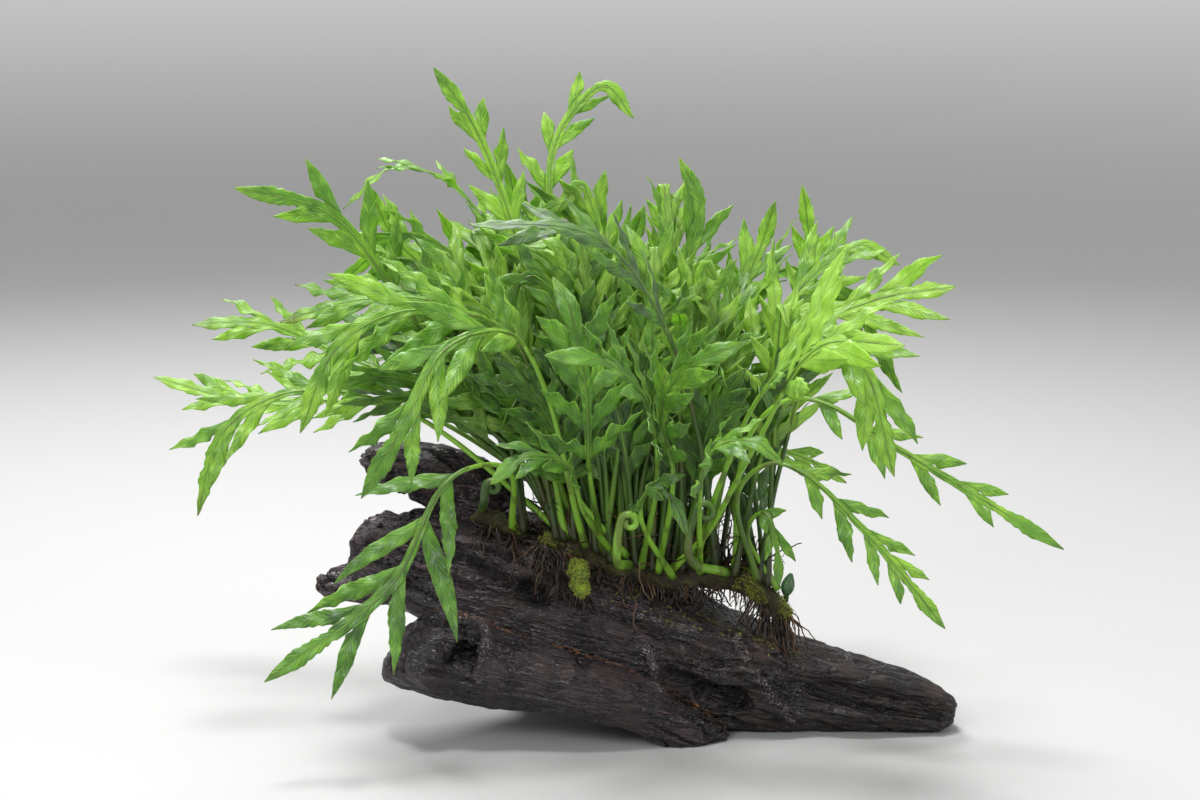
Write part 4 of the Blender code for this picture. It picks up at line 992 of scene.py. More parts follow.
# A creeping stem's and the stub's skin: sides, length of a row, height of the lumps.
STEM_SKIN, STUB_SKIN = (18, 1.0, 0.30), (14, 0.8, 0.65)
LUMP_SIZES, LUMP_SHARE = (3.1, 1.3), 0.35       # large and small lumps, height of the small ones
STEM_BLUNT = 0.04       # square of the share of the radius that is left at a stem's ends
STEM_SEEDS, STUB_SEED = 7.0, 3.0        # from stem to stem, and of the stub
# Young fronds and the bud.
YOUNG_TONES = (0.15, 0.3, 0.05)
COIL_ROWS, COIL_SIDES = 70, 10
COIL_THICK, COIL_THINNER = 1.6, 0.6     # radius at the foot, and what is lost at the end
BUD_ROWS, BUD_SIDES = 16, 12
BUD_CLOSED, BUD_SWELL = 0.25, 2.1       # radius at the tip, and what the middle adds
BUD_FROM, BUD_SPAN, BUD_BLUNT = 0.12, 0.83, 0.85        # of a half turn, and how blunt its foot is
BUD_FOOT = 0.8
YOUNG_HEIGHT = 0.5      # height along a grown stalk from which their colour is taken
# Small fronds deep in the clump.
INNER_COUNT = 46
INNER_STEMS = ("rhizome_main", "rhizome_main", "rhizome_back")
INNER_SHARES, INNER_LEANS = (0.04, 0.86), (-40, 55)
INNER_DEPTH = 0.7       # how far they reach to the back or front against to the side
INNER_TIP = (0.72, 1.02)        # height of the tip against the arch
INNER_BENDS = ((0.22, 0.52), (0.6, 0.93))       # shares of the reach and of the height
INNER_BLADE = ((0.38, 0.5), 3, (14, 23), (4.8, 6.2))    # as FILL_BLADE below
INNER_FACING = (0.35, 0.9)
# Inner fronds: a low tone deep down is painted shade, and the painted light added towards the top makes
# them paler.
INNER_TONE, INNER_PAINTED_LIGHT = 0.12, 0.45  # deep down, and what is added at the top
INNER_LIGHT_FROM, INNER_LIGHT_OVER = 100, 70
INNER_TONES = (-0.06, 0.14)
INNER_LEAVES_SEED = 41
# Stalk tones of the inner fronds are kept dark as painted shade deep in the clump.
SHADED_INNER_STALKS = (-0.5, 0.1)
INNER_SEED = 5
SMALL_COARSE = 1.8      # row length of small blades against the outer ones'
SMALL_LIFTS = LOBE_LIFTS[:5]
INNER_NUMBERS, FILL_NUMBERS = 100, 201  # first seeds of their fronds
INNER_HEIGHT = (36, 104)
INNER_REACH = (8, 46)
# Zones filled by smaller fronds: x, y and z of their tips from and to, count, tone from and to. The low
# inner zones have lower tones as painted shade.
FILL_ZONES = (
    ((-112, -64), (-25, 40), (114, 142), 13, (0.35, 0.65)),
    ((-100, -50), (-15, 45), (138, 170), 12, (0.5, 0.8)),
    ((-64, -28), (-20, 40), (98, 140), 16, (0.2, 0.5)),
    ((-50, 18), (-20, 50), (146, 178), 14, (0.5, 0.8)),
    ((18, 78), (-30, 45), (112, 162), 14, (0.5, 0.85)),
    ((-34, 27), (-25, 30), (104, 148), 14, (0.15, 0.5)),
)
FILL_LEFT_ZONES = 3     # how many of them are made as the left piece
FILL_SEED = 11
FILL_BACK = 12          # y from which a tip belongs to the back stem
FILL_LEFT, FILL_LEFT_SHARE = -64, 0.35  # x up to which some belong to the left stem, and how many
FILL_LEAN_OUT = 0.4     # share of the tip's x at which its foot lies
FILL_STRAY = 0.12
FILL_SHARES, FILL_LEANS = (0.05, 0.9), (-35, 40)
FILL_BENDS = ((0.2, (0.45, 0.58)), (0.62, (0.92, 1.1)))  # share of the way, shares of the rise
FILL_FACING = (0.25, 0.95)
FILL_BLADE = ((0.40, 0.52), 4, (17, 27), (5.0, 6.4))    # start, pairs, lobe length, lobe width
FILL_STALKS = (-0.4, 0.15)


class Ground:
    """Carved wood as the surface that roots and moss lie on."""

    def __init__(self, pieces):
        self.trees = [tree_of_object(piece) for piece in pieces]

    def nearest(self, place):
        found = [tree.find_nearest(place) for tree in self.trees]
        return min(found, key=lambda row: row[3])


def add_tube(net, points, radii, sides, shade=NOTHING, kind=0.0):
    """A closed tube through points, with a radius at each."""
    normal = Vector(TUBE_HINT).normalized()
    loops = []
    for index, (point, radius) in enumerate(zip(points, radii)):
        ahead = (points[min(index + 1, len(points) - 1)] - points[max(index - 1, 0)]).normalized()
        normal = Frond.square_to(normal, ahead)
        across = normal.cross(ahead)
        loop = []
        for turn in turns(sides):
            out = across * math.cos(turn) + normal * math.sin(turn)
            loop.append(net.add(point + out * radius, (0.0, 0.0, kind), shade))
        loops.append(loop)
    net.loft(loops)


def root_path(ground, start, way, length, above, fall, chance):
    """A root that wanders, falls and creeps over the wood."""
    points = [start]
    for _ in range(max(3, round(length / ROOT_STEP))):
        stray = Vector([chance.gauss(0, ROOT_STRAY) for _ in range(3)])
        way = (way + stray + Vector((0, 0, -fall))).normalized()
        place = points[-1] + way * ROOT_STEP
        spot, normal, _, _ = ground.nearest(place)
        if (place - spot).dot(normal) < above:
            place = spot + normal * above
            way = Frond.square_to(way, normal)
        place.z = max(place.z, ROOT_FLOOR)
        points.append(place)
    return points


def make_roots(ground, stem_rows, material):
    """Mats and curtains of wiry roots between the stems and the wood."""
    chance = random.Random(ROOTS_SEED)
    net = Net()
    paths = []
    for stem, low, high, count, (toward, down), lengths, height, fall in ROOT_KINDS:
        rows = stem_rows[stem]
        route = stem_route(rows)
        for _ in range(count):
            share = chance.uniform(low, high)
            radius = rows[min(int(share * len(rows)), len(rows) - 1)][3]
            usual = (0, -toward, -down)
            way = Vector([chance.gauss(*both) for both in zip(usual, ROOT_STRAYS)]).normalized()
            start = route.at(share) + way * radius * ROOT_FOOT
            above = mix(ROOT_LOW, height, chance.random() ** 2)
            path = root_path(ground, start, way, chance.uniform(*lengths), above, fall, chance)
            paths.append(path)
            thick = chance.uniform(*ROOT_RADIUS)
            radii = [thick * (1 - ROOT_TAPER * index / len(path)) for index in range(len(path))]
            tone = chance.random() ** ROOT_TONES
            add_tube(net, path, radii, ROOT_SIDES, (tone, chance.random(), 0.0))
    for _ in range(ROOTLETS):
        path = chance.choice(paths)
        start = chance.choice(path[1:])
        way = Vector([chance.gauss(0, 1) for _ in range(3)]).normalized()
        path = root_path(ground, start, way, chance.uniform(*ROOTLET_LENGTH), ROOTLET_LOW,
                         ROOTLET_FALL, chance)
        radii = [ROOTLET_RADIUS - ROOTLET_TAPER * index / len(path) for index in range(len(path))]
        add_tube(net, path, radii, ROOTLET_SIDES, (chance.random(), chance.random(), 0.0))
    net.object("fern_roots", material, "roots", ["root_mat_left", "root_curtain_right"])


def fine_stem(net, rows, skin_rows, seed):
    """A lumpy tube along a stem's rows. Returns places on its skin with the way out of it."""
    sides, step, lumps = skin_rows
    route = stem_route(rows)
    count = max(6, round(route.length / step))
    normal = Vector((0, 0, 1))
    loops = []
    skin = []
    for index in range(count + 1):
        share = index / count
        radius = stem_radius(rows, share)
        closing = min(share, 1 - share) * route.length / radius
        radius *= math.sqrt(max(STEM_BLUNT, 1 - max(0.0, 1 - closing) ** 2))
        ahead = route.ahead(share)
        normal = Frond.square_to(normal, ahead)
        across = normal.cross(ahead)
        loop = []
        for turn in turns(sides):
            out = across * math.cos(turn) + normal * math.sin(turn)
            where = route.at(share) + out * radius
            swell = noise.noise(where / LUMP_SIZES[0] + Vector((seed, 0, 0))) * lumps
            swell += noise.noise(where / LUMP_SIZES[1]) * lumps * LUMP_SHARE
            spot = where + out * radius * swell
            loop.append(net.add(spot))
            skin.append((spot, out, share))
        loops.append(loop)
    net.loft(loops)
    return skin


def moss_tuft(net, spot, normal, size, chance, tone):
    """A few tiny closed leaflets that stand on one spot."""
    for _ in range(chance.choice(TUFT_LEAFLETS)):
        stray = Vector([chance.gauss(0, TUFT_STRAY) for _ in range(3)])
        way = (normal + stray).normalized()
        side = way.cross(stray + Vector(TUFT_ASIDE)).normalized() * size * LEAFLET_HALF
        deep = way.cross(side) * 0.5
        length = size * chance.uniform(*LEAFLET_LENGTHS)
        here = spot - normal * LEAFLET_SUNK
        shade = (tone + chance.uniform(*TUFT_TONES), 0.0, 0.0)
        back = here - side * LEAFLET_CORNER
        corners = [net.add(corner, NOTHING, shade)
                   for corner in (here + side, back + deep, back - deep)]
        corners.append(net.add(here + way * length, (1.0, 0.0, 0.0), shade))
        for face in ((0, 1, 3), (1, 2, 3), (2, 0, 3), (2, 1, 0)):
            net.face(tuple(corners[corner] for corner in face))


def make_stems(stem_rows, materials):
    """The creeping stems and the stub of moss. Returns places on the skins."""
    skins = {}
    for index, (name, rows) in enumerate(stem_rows.items()):
        net = Net()
        skins[name] = fine_stem(net, rows, STEM_SKIN, index * STEM_SEEDS)
        net.object("fern_" + name, materials["stem"], "stem", [name])
    net = Net()
    skins["moss_stub"] = fine_stem(net, MOSS_STUB, STUB_SKIN, STUB_SEED)
    net.object("fern_moss_stub", materials["stub"], "roots", ["moss_stub"])
    return skins


def make_moss(ground, skins, stem_rows, material):
    """Tufts on the stems, on the stub and on the wood beside the main stem."""
    chance = random.Random(MOSS_SEED)
    moss = Net()
    for name, low, high, count, size in MOSS_KINDS:
        places = [row for row in skins[name] if low <= row[2] <= high and row[1].z > MOSS_UNDER]
        for _ in range(count):
            spot, out, _ = chance.choice(places)
            patch = noise.noise(spot / MOSS_PATCH)
            if patch > MOSS_BARE:
                moss_tuft(moss, spot, out, size * (PATCH_SIZE + PATCH_GAIN * patch), chance,
                          PATCH_TONE + PATCH_GAIN * patch)
    for _ in range(STUB_MOSS):
        spot, out, _ = chance.choice(skins["moss_stub"])
        moss_tuft(moss, spot, out, STUB_LEAFLET, chance, STUB_TONE)
    route = stem_route(stem_rows["rhizome_main"])
    for _ in range(WOOD_MOSS):
        beside = route.at(chance.random())
        near = beside + Vector((chance.gauss(*WOOD_MOSS_X), chance.gauss(*WOOD_MOSS_Y),
                                chance.uniform(*WOOD_MOSS_Z)))
        spot, normal, _, _ = ground.nearest(near)
        size = chance.uniform(*WOOD_LEAFLET)
        moss_tuft(moss, spot, normal, size, chance, chance.uniform(*WOOD_TONES))
    moss.object("fern_moss", material, "roots")


def make_young(stem_rows, material):
    """The coiled young fronds."""
    for tone, (name, (root, (rise, centre), radius)) in zip(YOUNG_TONES, FIDDLEHEADS.items()):
        foot = stem_point(stem_rows, root)
        points = [foot, Vector(rise)]
        for step in range(COIL_TURNS):
            angle = math.radians(COIL_START + COIL_STEP * step)
            reach = radius * (1 - COIL_SHRINK * step)
            points.append(Vector(centre) + Vector((math.cos(angle) * reach, COIL_DRIFT * step,
                                                   -math.sin(angle) * reach)))
        route = Route(points)
        rows = [route.at(index / COIL_ROWS) for index in range(COIL_ROWS + 1)]
        rows.insert(0, foot - (rows[1] - foot).normalized() * FOOT_SUNK)
        last = len(rows) - 1
        radii = [COIL_THICK - COIL_THINNER * (index / last) ** 2 for index in range(len(rows))]
        net = Net()
        add_tube(net, rows, radii, COIL_SIDES, (tone, YOUNG_HEIGHT, 0.0), STALK_KIND)
        net.object("fern_" + name, material, "young", [name])


def make_bud(stem_rows, material):
    root, offsets = BUD
    foot = stem_point(stem_rows, root)
    route = Route([foot + Vector(offset) for offset in offsets])
    rows = [foot - Vector((0, 0, FOOT_SUNK))]
    radii = [BUD_FOOT]
    for index in range(BUD_ROWS + 1):
        rows.append(route.at(index / BUD_ROWS))
        turn = math.pi * (BUD_FROM + BUD_SPAN * (index / BUD_ROWS) ** BUD_BLUNT)
        radii.append(BUD_CLOSED + BUD_SWELL * math.sin(turn))
    net = Net()
    add_tube(net, rows, radii, BUD_SIDES)
    net.object("fern_bud", material, "young", ["bud_right"])


def small_blade(chance, limits):
    """Start, pairs, lobe length and lobe width of a small frond, drawn between limits."""
    start, pairs, reach, width = limits
    return chance.uniform(*start), pairs, chance.uniform(*reach), chance.uniform(*width)


def inner_fronds(stem_rows):
    """Rows for the small fronds deep in the clump, placed by a rule."""
    chance = random.Random(INNER_SEED)
    rows = []
    for index in range(INNER_COUNT):
        stem = INNER_STEMS[index % len(INNER_STEMS)]
        root = (stem, chance.uniform(*INNER_SHARES), chance.uniform(*INNER_LEANS))
        foot = stem_point(stem_rows, root)
        height = chance.uniform(*INNER_HEIGHT)
        reach = chance.uniform(*INNER_REACH)
        heading = chance.uniform(0, math.tau)
        way = Vector((math.cos(heading), INNER_DEPTH * math.sin(heading), 0))
        tip = foot + way * reach + Vector((0, 0, height * chance.uniform(*INNER_TIP)))
        points = [foot + way * reach * along + Vector((0, 0, height * up))
                  for along, up in INNER_BENDS]
        blade = small_blade(chance, INNER_BLADE)
        facing = chance.choice((1, -1)) * chance.uniform(*INNER_FACING)
        rows.append((root, blade, facing, (*points, tip)))
    return rows


def fill_frond(stem_rows, zone, chance):
    """Row of one frond whose tip lies somewhere in a zone."""
    tip = Vector([chance.uniform(*limits) for limits in zone[:3]])
    stem = "rhizome_back" if tip.y > FILL_BACK else "rhizome_main"
    if tip.x < FILL_LEFT and chance.random() < FILL_LEFT_SHARE:
        stem = "rhizome_left"
    first, last = stem_rows[stem][0][0], stem_rows[stem][-1][0]
    share = (FILL_LEAN_OUT * tip.x - first) / (last - first) + chance.gauss(0, FILL_STRAY)
    low, high = FILL_SHARES
    root = (stem, min(max(share, low), high), chance.uniform(*FILL_LEANS))
    foot = stem_point(stem_rows, root)
    rise = tip.z - foot.z
    points = []
    for along, limits in FILL_BENDS:
        place = foot.lerp(tip, along)
        place.z = foot.z + rise * chance.uniform(*limits)
        points.append(place)
    blade = small_blade(chance, FILL_BLADE)
    facing = chance.choice((1, 1, -1)) * chance.uniform(*FILL_FACING)
    return root, blade, facing, (*points, tip)


def small_leaf(net, name, number, row, stem_rows, chance, tones, stalk_tones):
    """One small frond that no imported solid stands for, added to a net of many."""
    root, blade, facing, points = row
    foot = stem_point(stem_rows, root)
    frond = Frond(name, foot, points, blade, facing, number)
    chosen = {key: (chance.choice(SMALL_LIFTS), 1.0) for key in frond.lobes}
    leaf = Leaf(frond, chosen, chance.uniform(*tones), BROWN_ELSEWHERE, net, SMALL_COARSE)
    leaf.stalk_tone = chance.uniform(*stalk_tones)
    leaf.grow()


def make_fill_leaves(finishes, stem_rows):
    """Smaller fronds between the large ones, in two pieces."""
    chance = random.Random(FILL_SEED)
    number = FILL_NUMBERS
    halves = (("left", FILL_ZONES[:FILL_LEFT_ZONES]), ("right", FILL_ZONES[FILL_LEFT_ZONES:]))
    for side, zones in halves:
        net = Net()
        for zone in zones:
            count, tones = zone[3:]
            for _ in range(count):
                row = fill_frond(stem_rows, zone, chance)
                small_leaf(net, "fill_%d" % number, number, row, stem_rows, chance, tones, FILL_STALKS)
                number += 1
        net.object("fern_leaves_between_" + side, finishes, "leaf")


def make_inner_leaves(finishes, stem_rows):
    """The small fronds deep in the clump, in painted shade deep down and painted light towards the top.
    """
    net = Net()
    chance = random.Random(INNER_LEAVES_SEED)
    for index, row in enumerate(inner_fronds(stem_rows)):
        height = row[3][-1].z
        light = smooth((height - INNER_LIGHT_FROM) / INNER_LIGHT_OVER)
        tone = INNER_TONE + INNER_PAINTED_LIGHT * light
        tones = [tone + spread for spread in INNER_TONES]
        small_leaf(net, "inner_%d" % (index + 1), INNER_NUMBERS + index, row, stem_rows, chance,
                   tones, SHADED_INNER_STALKS)
    net.object("fern_inner_leaves", finishes, "leaf")


class Look:
    """A procedural material while it is put together. A noise's scale is per millimetre."""

    def __init__(self, name):
        self.material = bpy.data.materials.new(name)
        self.material.use_nodes = True
        self.tree = self.material.node_tree
        self.shader = self.tree.nodes["Principled BSDF"]
        self.output = self.tree.nodes["Material Output"]

    def put(self, socket, value):
        """Link a socket to another, or give it a plain value."""
        if isinstance(value, bpy.types.NodeSocket):
            self.tree.links.new(value, socket)
        else:
            socket.default_value = value

    def node(self, kind, values=(), **settings):
        made = self.tree.nodes.new("ShaderNode" + kind)
        for key, value in settings.items():
            setattr(made, key, value)
        for key, value in dict(values).items():
            self.put(made.inputs[key], value)
        return made

    def math(self, operation, *values, clamp=False):
        made = self.node("Math", operation=operation, use_clamp=clamp)
        for index, value in enumerate(values):
            self.put(made.inputs[index], value)
        return made.outputs[0]

    def attribute(self, name):
        """The three parts of a point's stored numbers."""
        stored = self.node("Attribute", attribute_name=name)
        parts = self.node("SeparateXYZ", {0: stored.outputs["Vector"]})
        return parts.outputs

    def step(self, value, low, high):
        """Soft step from 0 at low to 1 at high."""
        made = self.node("MapRange", {0: value, 1: low, 2: high}, interpolation_type="SMOOTHSTEP")
        return made.outputs[0]

    def plus(self, first, second, clamp=False):
        return self.math("ADD", first, second, clamp=clamp)

    def minus(self, first, second, clamp=False):
        return self.math("SUBTRACT", first, second, clamp=clamp)

    def times(self, first, second):
        return self.math("MULTIPLY", first, second)

    def rest(self, value):
        """What a value leaves of 1."""
        return self.minus(1.0, value)

    def mixed(self, *parts):
        """The sum of values, each with its weight."""
        total = self.times(*parts[0])
        for part in parts[1:]:
            total = self.plus(total, self.times(*part))
        return total

    def swing(self, start, *parts):
        """A start value, and how far each other value is from its middle, times its weight."""
        for value, middle, weight in parts:
            start = self.plus(start, self.times(self.minus(value, middle), weight))
        return start

    def blend(self, factor, first, second):
        made = self.node("Mix", data_type="RGBA", blend_type="MIX")
        self.put(made.inputs[0], factor)
        for index, value in ((6, first), (7, second)):
            if not isinstance(value, bpy.types.NodeSocket):
                value = (*value, 1)
            self.put(made.inputs[index], value)
        return made.outputs[2]

    def noise(self, vector, scale, detail=3.0, rough=0.55, warp=0.0):
        made = self.node("TexNoise", {"Vector": vector, "Scale": scale, "Detail": detail,
                                      "Roughness": rough, "Distortion": warp})
        return made.outputs["Fac"]

    def line(self, value, width):
        """Thin lines where a noise crosses its middle value."""
        off = self.math("ABSOLUTE", self.minus(value, 0.5))
        return self.rest(self.step(off, 0.0, width))

    def scaled(self, vector, factors):
        made = self.node("Mapping", {"Vector": vector, "Scale": factors})
        return made.outputs[0]

    def position(self):
        """Millimetres in the frame, the same for every piece."""
        place = self.node("TexCoord").outputs["Object"]
        return self.scaled(place, (1 / MM, 1 / MM, 1 / MM))

    def bump(self, height, distance, strength=1.0):
        """The way a skin faces that rises and falls with height, by a distance in metres."""
        made = self.node("Bump", {"Height": height, "Distance": distance, "Strength": strength})
        return made.outputs[0]

    def finish(self, colour, roughness, normal=None, **constants):
        self.put(self.shader.inputs["Base Color"], colour)
        self.put(self.shader.inputs["Roughness"], roughness)
        if normal:
            self.put(self.shader.inputs["Normal"], normal)
        for key, value in constants.items():
            self.shader.inputs[key.replace("_", " ")].default_value = value
        return self.material


# Colours: light's red, green and blue, from 0 to 1.
LEAF_DEEP, LEAF_GREEN, LEAF_LIGHT = (0.014, 0.062, 0.005), (0.112, 0.300, 0.016), (0.450, 0.690, 0.090)
LEAF_BROWN, LEAF_RIB = (0.120, 0.055, 0.012), (0.055, 0.090, 0.020)
THROUGH = (0.55, 0.95, 0.04)    # tint of light that comes through a blade
STALK_DARK, STALK_GREEN = (0.035, 0.085, 0.008), (0.200, 0.420, 0.030)
STALK_OLD, STALK_SPECK = (0.070, 0.062, 0.014), (0.022, 0.020, 0.008)
STALK_RIB, STALK_FOOT_SHADE = (0.050, 0.080, 0.018), (0.020, 0.016, 0.006)
STEM_COLOURS = ((0.014, 0.009, 0.005), (0.060, 0.042, 0.013), (0.085, 0.095, 0.014))
STUB_COLOURS = ((0.060, 0.090, 0.008), (0.180, 0.260, 0.014), (0.330, 0.450, 0.020))
MOSS_DARK, MOSS_PALE = (0.035, 0.036, 0.008), (0.240, 0.300, 0.022)
MOSS_TIP, MOSS_SPECK = (0.360, 0.400, 0.060), (0.090, 0.055, 0.012)
ROOT_DARK, ROOT_BROWN, ROOT_PATCH = (0.008, 0.005, 0.003), (0.120, 0.058, 0.022), (0.030, 0.017, 0.009)
BUD_DARK, BUD_PALE = (0.018, 0.055, 0.022), (0.050, 0.120, 0.035)
GRAIN_DARK, GRAIN_PALE = (0.0020, 0.0012, 0.0015), (0.061, 0.0350, 0.0445)
SKIN_DARK, SKIN_PALE = (0.0046, 0.0030, 0.0040), (0.031, 0.0203, 0.0272)
WOOD_RIGHT, WOOD_WARM = (0.0045, 0.0030, 0.0022), (0.050, 0.0235, 0.0140)
# The pale crest colour is partly dust and partly a painted highlight; the near-black one is the dark
# grain lines and painted shade in hollows and cracks.
WOOD_RUST, WOOD_DUST_AND_HIGHLIGHT, WOOD_LINES_AND_HOLLOW_SHADE = (0.20, 0.080, 0.024), (0.34, 0.29, 0.29), (0.0024, 0.0017, 0.0015)

# Veins, in millimetres: from one to the next, how far they run on towards the margin, how far they
# wander, and the grain of their streaks along the blade, across it and from lobe to lobe.
VEIN_EVERY, VEIN_SLANT, VEIN_WANDER = 2.3, 2.1, 0.9
STREAKS = (1.15, 0.10, 9.0)


def leaf_veins(look, run, off, fine, phase):
    """Soft streaks that slant forward from the midrib, and thin vein lines among them."""
    bent = look.plus(run, look.times(fine, VEIN_WANDER))
    slanted = look.minus(bent, look.times(off, VEIN_SLANT))
    parts = [look.times(*both) for both in zip((slanted, run, phase), STREAKS)]
    place = look.node("CombineXYZ", dict(enumerate(parts))).outputs[0]
    streak = look.noise(place, 1.0, 3.0, 0.6)
    near = look.math("PINGPONG", look.math("DIVIDE", slanted, VEIN_EVERY), 0.5)
    return streak, look.times(look.rest(look.step(near, 0.02, 0.16)), look.step(streak, 0.35, 0.6))


def leaf_material():
    """Wet, half clear leaf: fine slanting veins, dark midribs, paler margins, brown tips."""
    look = Look("fern_leaf")
    run, across, half = look.attribute("place")
    tone, brown, phase = look.attribute("shade")
    position = look.position()
    off = look.math("ABSOLUTE", across)
    slow = look.noise(position, 0.06, 2.0)
    patch = look.noise(position, 0.24, 3.0, 0.6)
    fine = look.noise(position, 0.9, 3.0)
    streak, vein = leaf_veins(look, run, off, fine, phase)
    light = look.swing(tone, (slow, 0.5, 0.9), (streak, 0.5, 1.3), (patch, 0.5, 0.5))
    light = look.minus(light, look.times(vein, 0.16), clamp=True)
    low = look.blend(look.step(light, 0.0, 0.5), LEAF_DEEP, LEAF_GREEN)
    colour = look.blend(look.step(light, 0.4, 1.0), low, LEAF_LIGHT)
    rim = look.step(look.math("DIVIDE", off, look.math("MAXIMUM", half, 0.1)), 0.86, 1.0)
    colour = look.blend(look.times(rim, 0.3), colour, LEAF_LIGHT)
    rib = look.rest(look.step(off, 0.12, 0.42))
    colour = look.blend(look.times(rib, 0.30), colour, LEAF_RIB)
    spots = look.step(look.noise(position, 0.55, 4.0, 0.7), 0.67, 0.74)
    burn = look.plus(look.times(brown, look.step(fine, 0.3, 0.6)), look.times(spots, 0.4), clamp=True)
    colour = look.blend(burn, colour, LEAF_BROWN)
    normal = look.bump(look.mixed((vein, -0.35), (streak, 0.9)), 0.0004, 0.9)
    rough = look.plus(0.26, look.times(fine, 0.28))
    material = look.finish(colour, rough, normal, Specular_IOR_Level=0.65, Coat_Weight=0.3,
                           Coat_Roughness=0.28, Sheen_Weight=0.08)
    tint = look.blend(0.45, colour, THROUGH)
    clear = look.node("BsdfTranslucent", {"Color": tint, "Normal": normal})
    share = look.plus(0.22, look.times(light, 0.34))
    both = look.node("MixShader", {0: share, 1: look.shader.outputs[0], 2: clear.outputs[0]})
    look.put(look.output.inputs["Surface"], both.outputs[0])
    return material


# The photo's view, which also places the marks on the wood. Camera and aim are in metres.
CAMERA = (-0.0476, -0.8042, 0.2391)
AIM = (-0.0476, -0.0140, 0.1140)
LENS, SENSOR = 70.6, 36.0
PHOTO_WIDTH, PHOTO_HEIGHT = 1200, 800

# Driftwood.
SLAB_NODES = ["driftwood_trunk", "driftwood_upper_horn", "driftwood_left_prong"]
LOBE_NODES = ["driftwood_lower_lobe"]
GRAIN_FALL = 13.8       # degrees by which the grain falls to the right
WOOD_GROW = 0.5         # outward move that lets neighbouring solids melt together
SLAB_VOXEL, LOBE_VOXEL = 0.80, 0.65
MARK_RISE, MARK_SPREAD = 1.6, 1.3     # how much stronger and wider the marks below are made
SMOOTHING = 14
# Relief of the wood's skin. Sizes in millimetres along the grain, in depth and across it.
WARP_SIZE, WARP = 24, 5             # how the grain wanders
LUMP_SIZE, LUMP_RISE = 17, 0.8
LAYER_SIZE, LAYER_RISE = (48, 6, 4.4), 1.5
FIBRE_SIZE, FIBRE_RISE = (13, 1.5, 1.4), 0.8
FINE_SIZE, FINE_RISE = (4.5, 2.6, 1.5), 0.45    # on smooth skin, in place of the fibres
CRACK_SIZE, CRACK_SHIFT, CRACK_WIDTH = (40, 8, 4.2), 9, 0.09
CRACK_DEPTH, CRACK_SHARP = 2.4, 1.4
SKIN_LEVELS = 0.7                   # share of layers and cracks that smooth skin hides
MARK_GRIT = 1.7                     # size of the roughness of a mark's crest
FLOOR_FREE = 0.02                   # least height of the wood above the floor
SEAM_LOOK, SEAM_NEAR = 6.0, 3.2     # how far the other wood is looked for, and what is near it
# Marks of the wood's face: pixels that the mark runs through, height (below 0: cut in), half
# width, and how rough its crest is.
SLAB_MARKS = (
    (((735, 640), (745, 657), (760, 680), (775, 700), (792, 717)), 1.1, 1.7, 1.0),
    (((812, 690), (845, 701), (870, 707), (905, 712), (940, 715)), -1.9, 0.95, 0.2),
    (((830, 660), (880, 670), (920, 677), (944, 685), (948, 694), (935, 702), (900, 702)),
     0.7, 0.9, 0.1),
    (((672, 672), (698, 688), (738, 699)), -2.4, 2.6, 0.3),
    (((668, 655), (683, 676), (697, 706)), 0.7, 0.8, 0.2),
    (((652, 700), (672, 712), (712, 720), (745, 726)), -1.4, 1.4, 0.9),
    (((425, 538), (470, 562), (505, 582), (548, 594)), -2.2, 1.5, 0.5),
    (((362, 543), (420, 573), (470, 590)), -1.4, 0.9, 0.4),
    (((345, 572), (372, 588), (410, 600)), -1.2, 0.8, 0.4),
    (((527, 590), (536, 595)), -5.0, 3.0, 0.3),
    (((647, 650), (656, 675), (658, 700)), 1.5, 1.5, 0.9),
    (((560, 596), (612, 616), (668, 640), (720, 662)), -1.3, 1.2, 0.5),
    (((600, 604), (670, 626), (728, 640)), 0.8, 1.6, 0.6),
    (((395, 470), (430, 480), (470, 492)), -1.0, 0.9, 0.4),
)
# The seam between slab and lobe, in pixels from left to right. Under it the slab's face carries on
# the lobe's smoother skin, as far as the lobe's broken end.
SEAM_PIXELS = ((415, 600), (470, 598), (520, 607), (560, 598), (612, 617), (655, 645))
SEAM_END, SEAM_SOFT = 660, 8
# The lobe's splintered end: x where it starts, and the pixel where its skin stops.
BROKEN_FROM, BROKEN_PIXEL = 4, 652
# How strongly layers show: everywhere, then what is added from one x over so many millimetres.
SLAB_LAYERS = (0.75, ((0.7, -45, -40), (-0.3, 60, 30)))
LOBE_LAYERS = (0.35, ((0.4, -70, -12), (0.9, BROKEN_FROM, 12)))
RIGHT_DARKENS = (-45, 0)        # millimetres across, in the frame, over which the wood darkens
LOBE_MARKS = (
    (((567, 607), (556, 618), (546, 636)), 1.7, 2.4, 0.1),
    (((574, 624), (578, 640), (584, 664)), -1.7, 1.9, 0.2),
    (((438, 619), (462, 622), (475, 634), (470, 648), (456, 658)), -3.4, 2.3, 0.8),
    (((424, 610), (458, 610), (482, 620), (486, 646)), 1.3, 1.8, 0.1),
    (((390, 668), (430, 672), (470, 681)), -1.2, 0.8, 0.4),
    (((392, 660), (430, 663), (470, 671), (520, 686)), -0.9, 0.7, 0.4),
    (((600, 640), (640, 660), (656, 690)), 1.0, 3.0, 0.3),
)


def view_axes():
    """Right, up and forward of the photo's view."""
    ahead = (Vector(AIM) - Vector(CAMERA)).normalized()
    right = ahead.cross(Vector((0, 0, 1))).normalized()
    return right, right.cross(ahead), ahead


def seen_at(pixel, trees):
    """The place, in the tables' millimetres, that a pixel of the photo shows on the trees."""
    right, up, ahead = view_axes()
    scale = SENSOR / LENS / PHOTO_WIDTH
    way = (ahead + right * ((pixel[0] - PHOTO_WIDTH / 2) * scale)
           + up * ((PHOTO_HEIGHT / 2 - pixel[1]) * scale)).normalized()
    eye = Vector(CAMERA) / MM + Vector(ORIGIN)
    hits = [tree.ray_cast(eye, way) for tree in trees]
    hits = [(distance, place) for place, _, _, distance in hits if place]
    return min(hits)[1] if hits else None


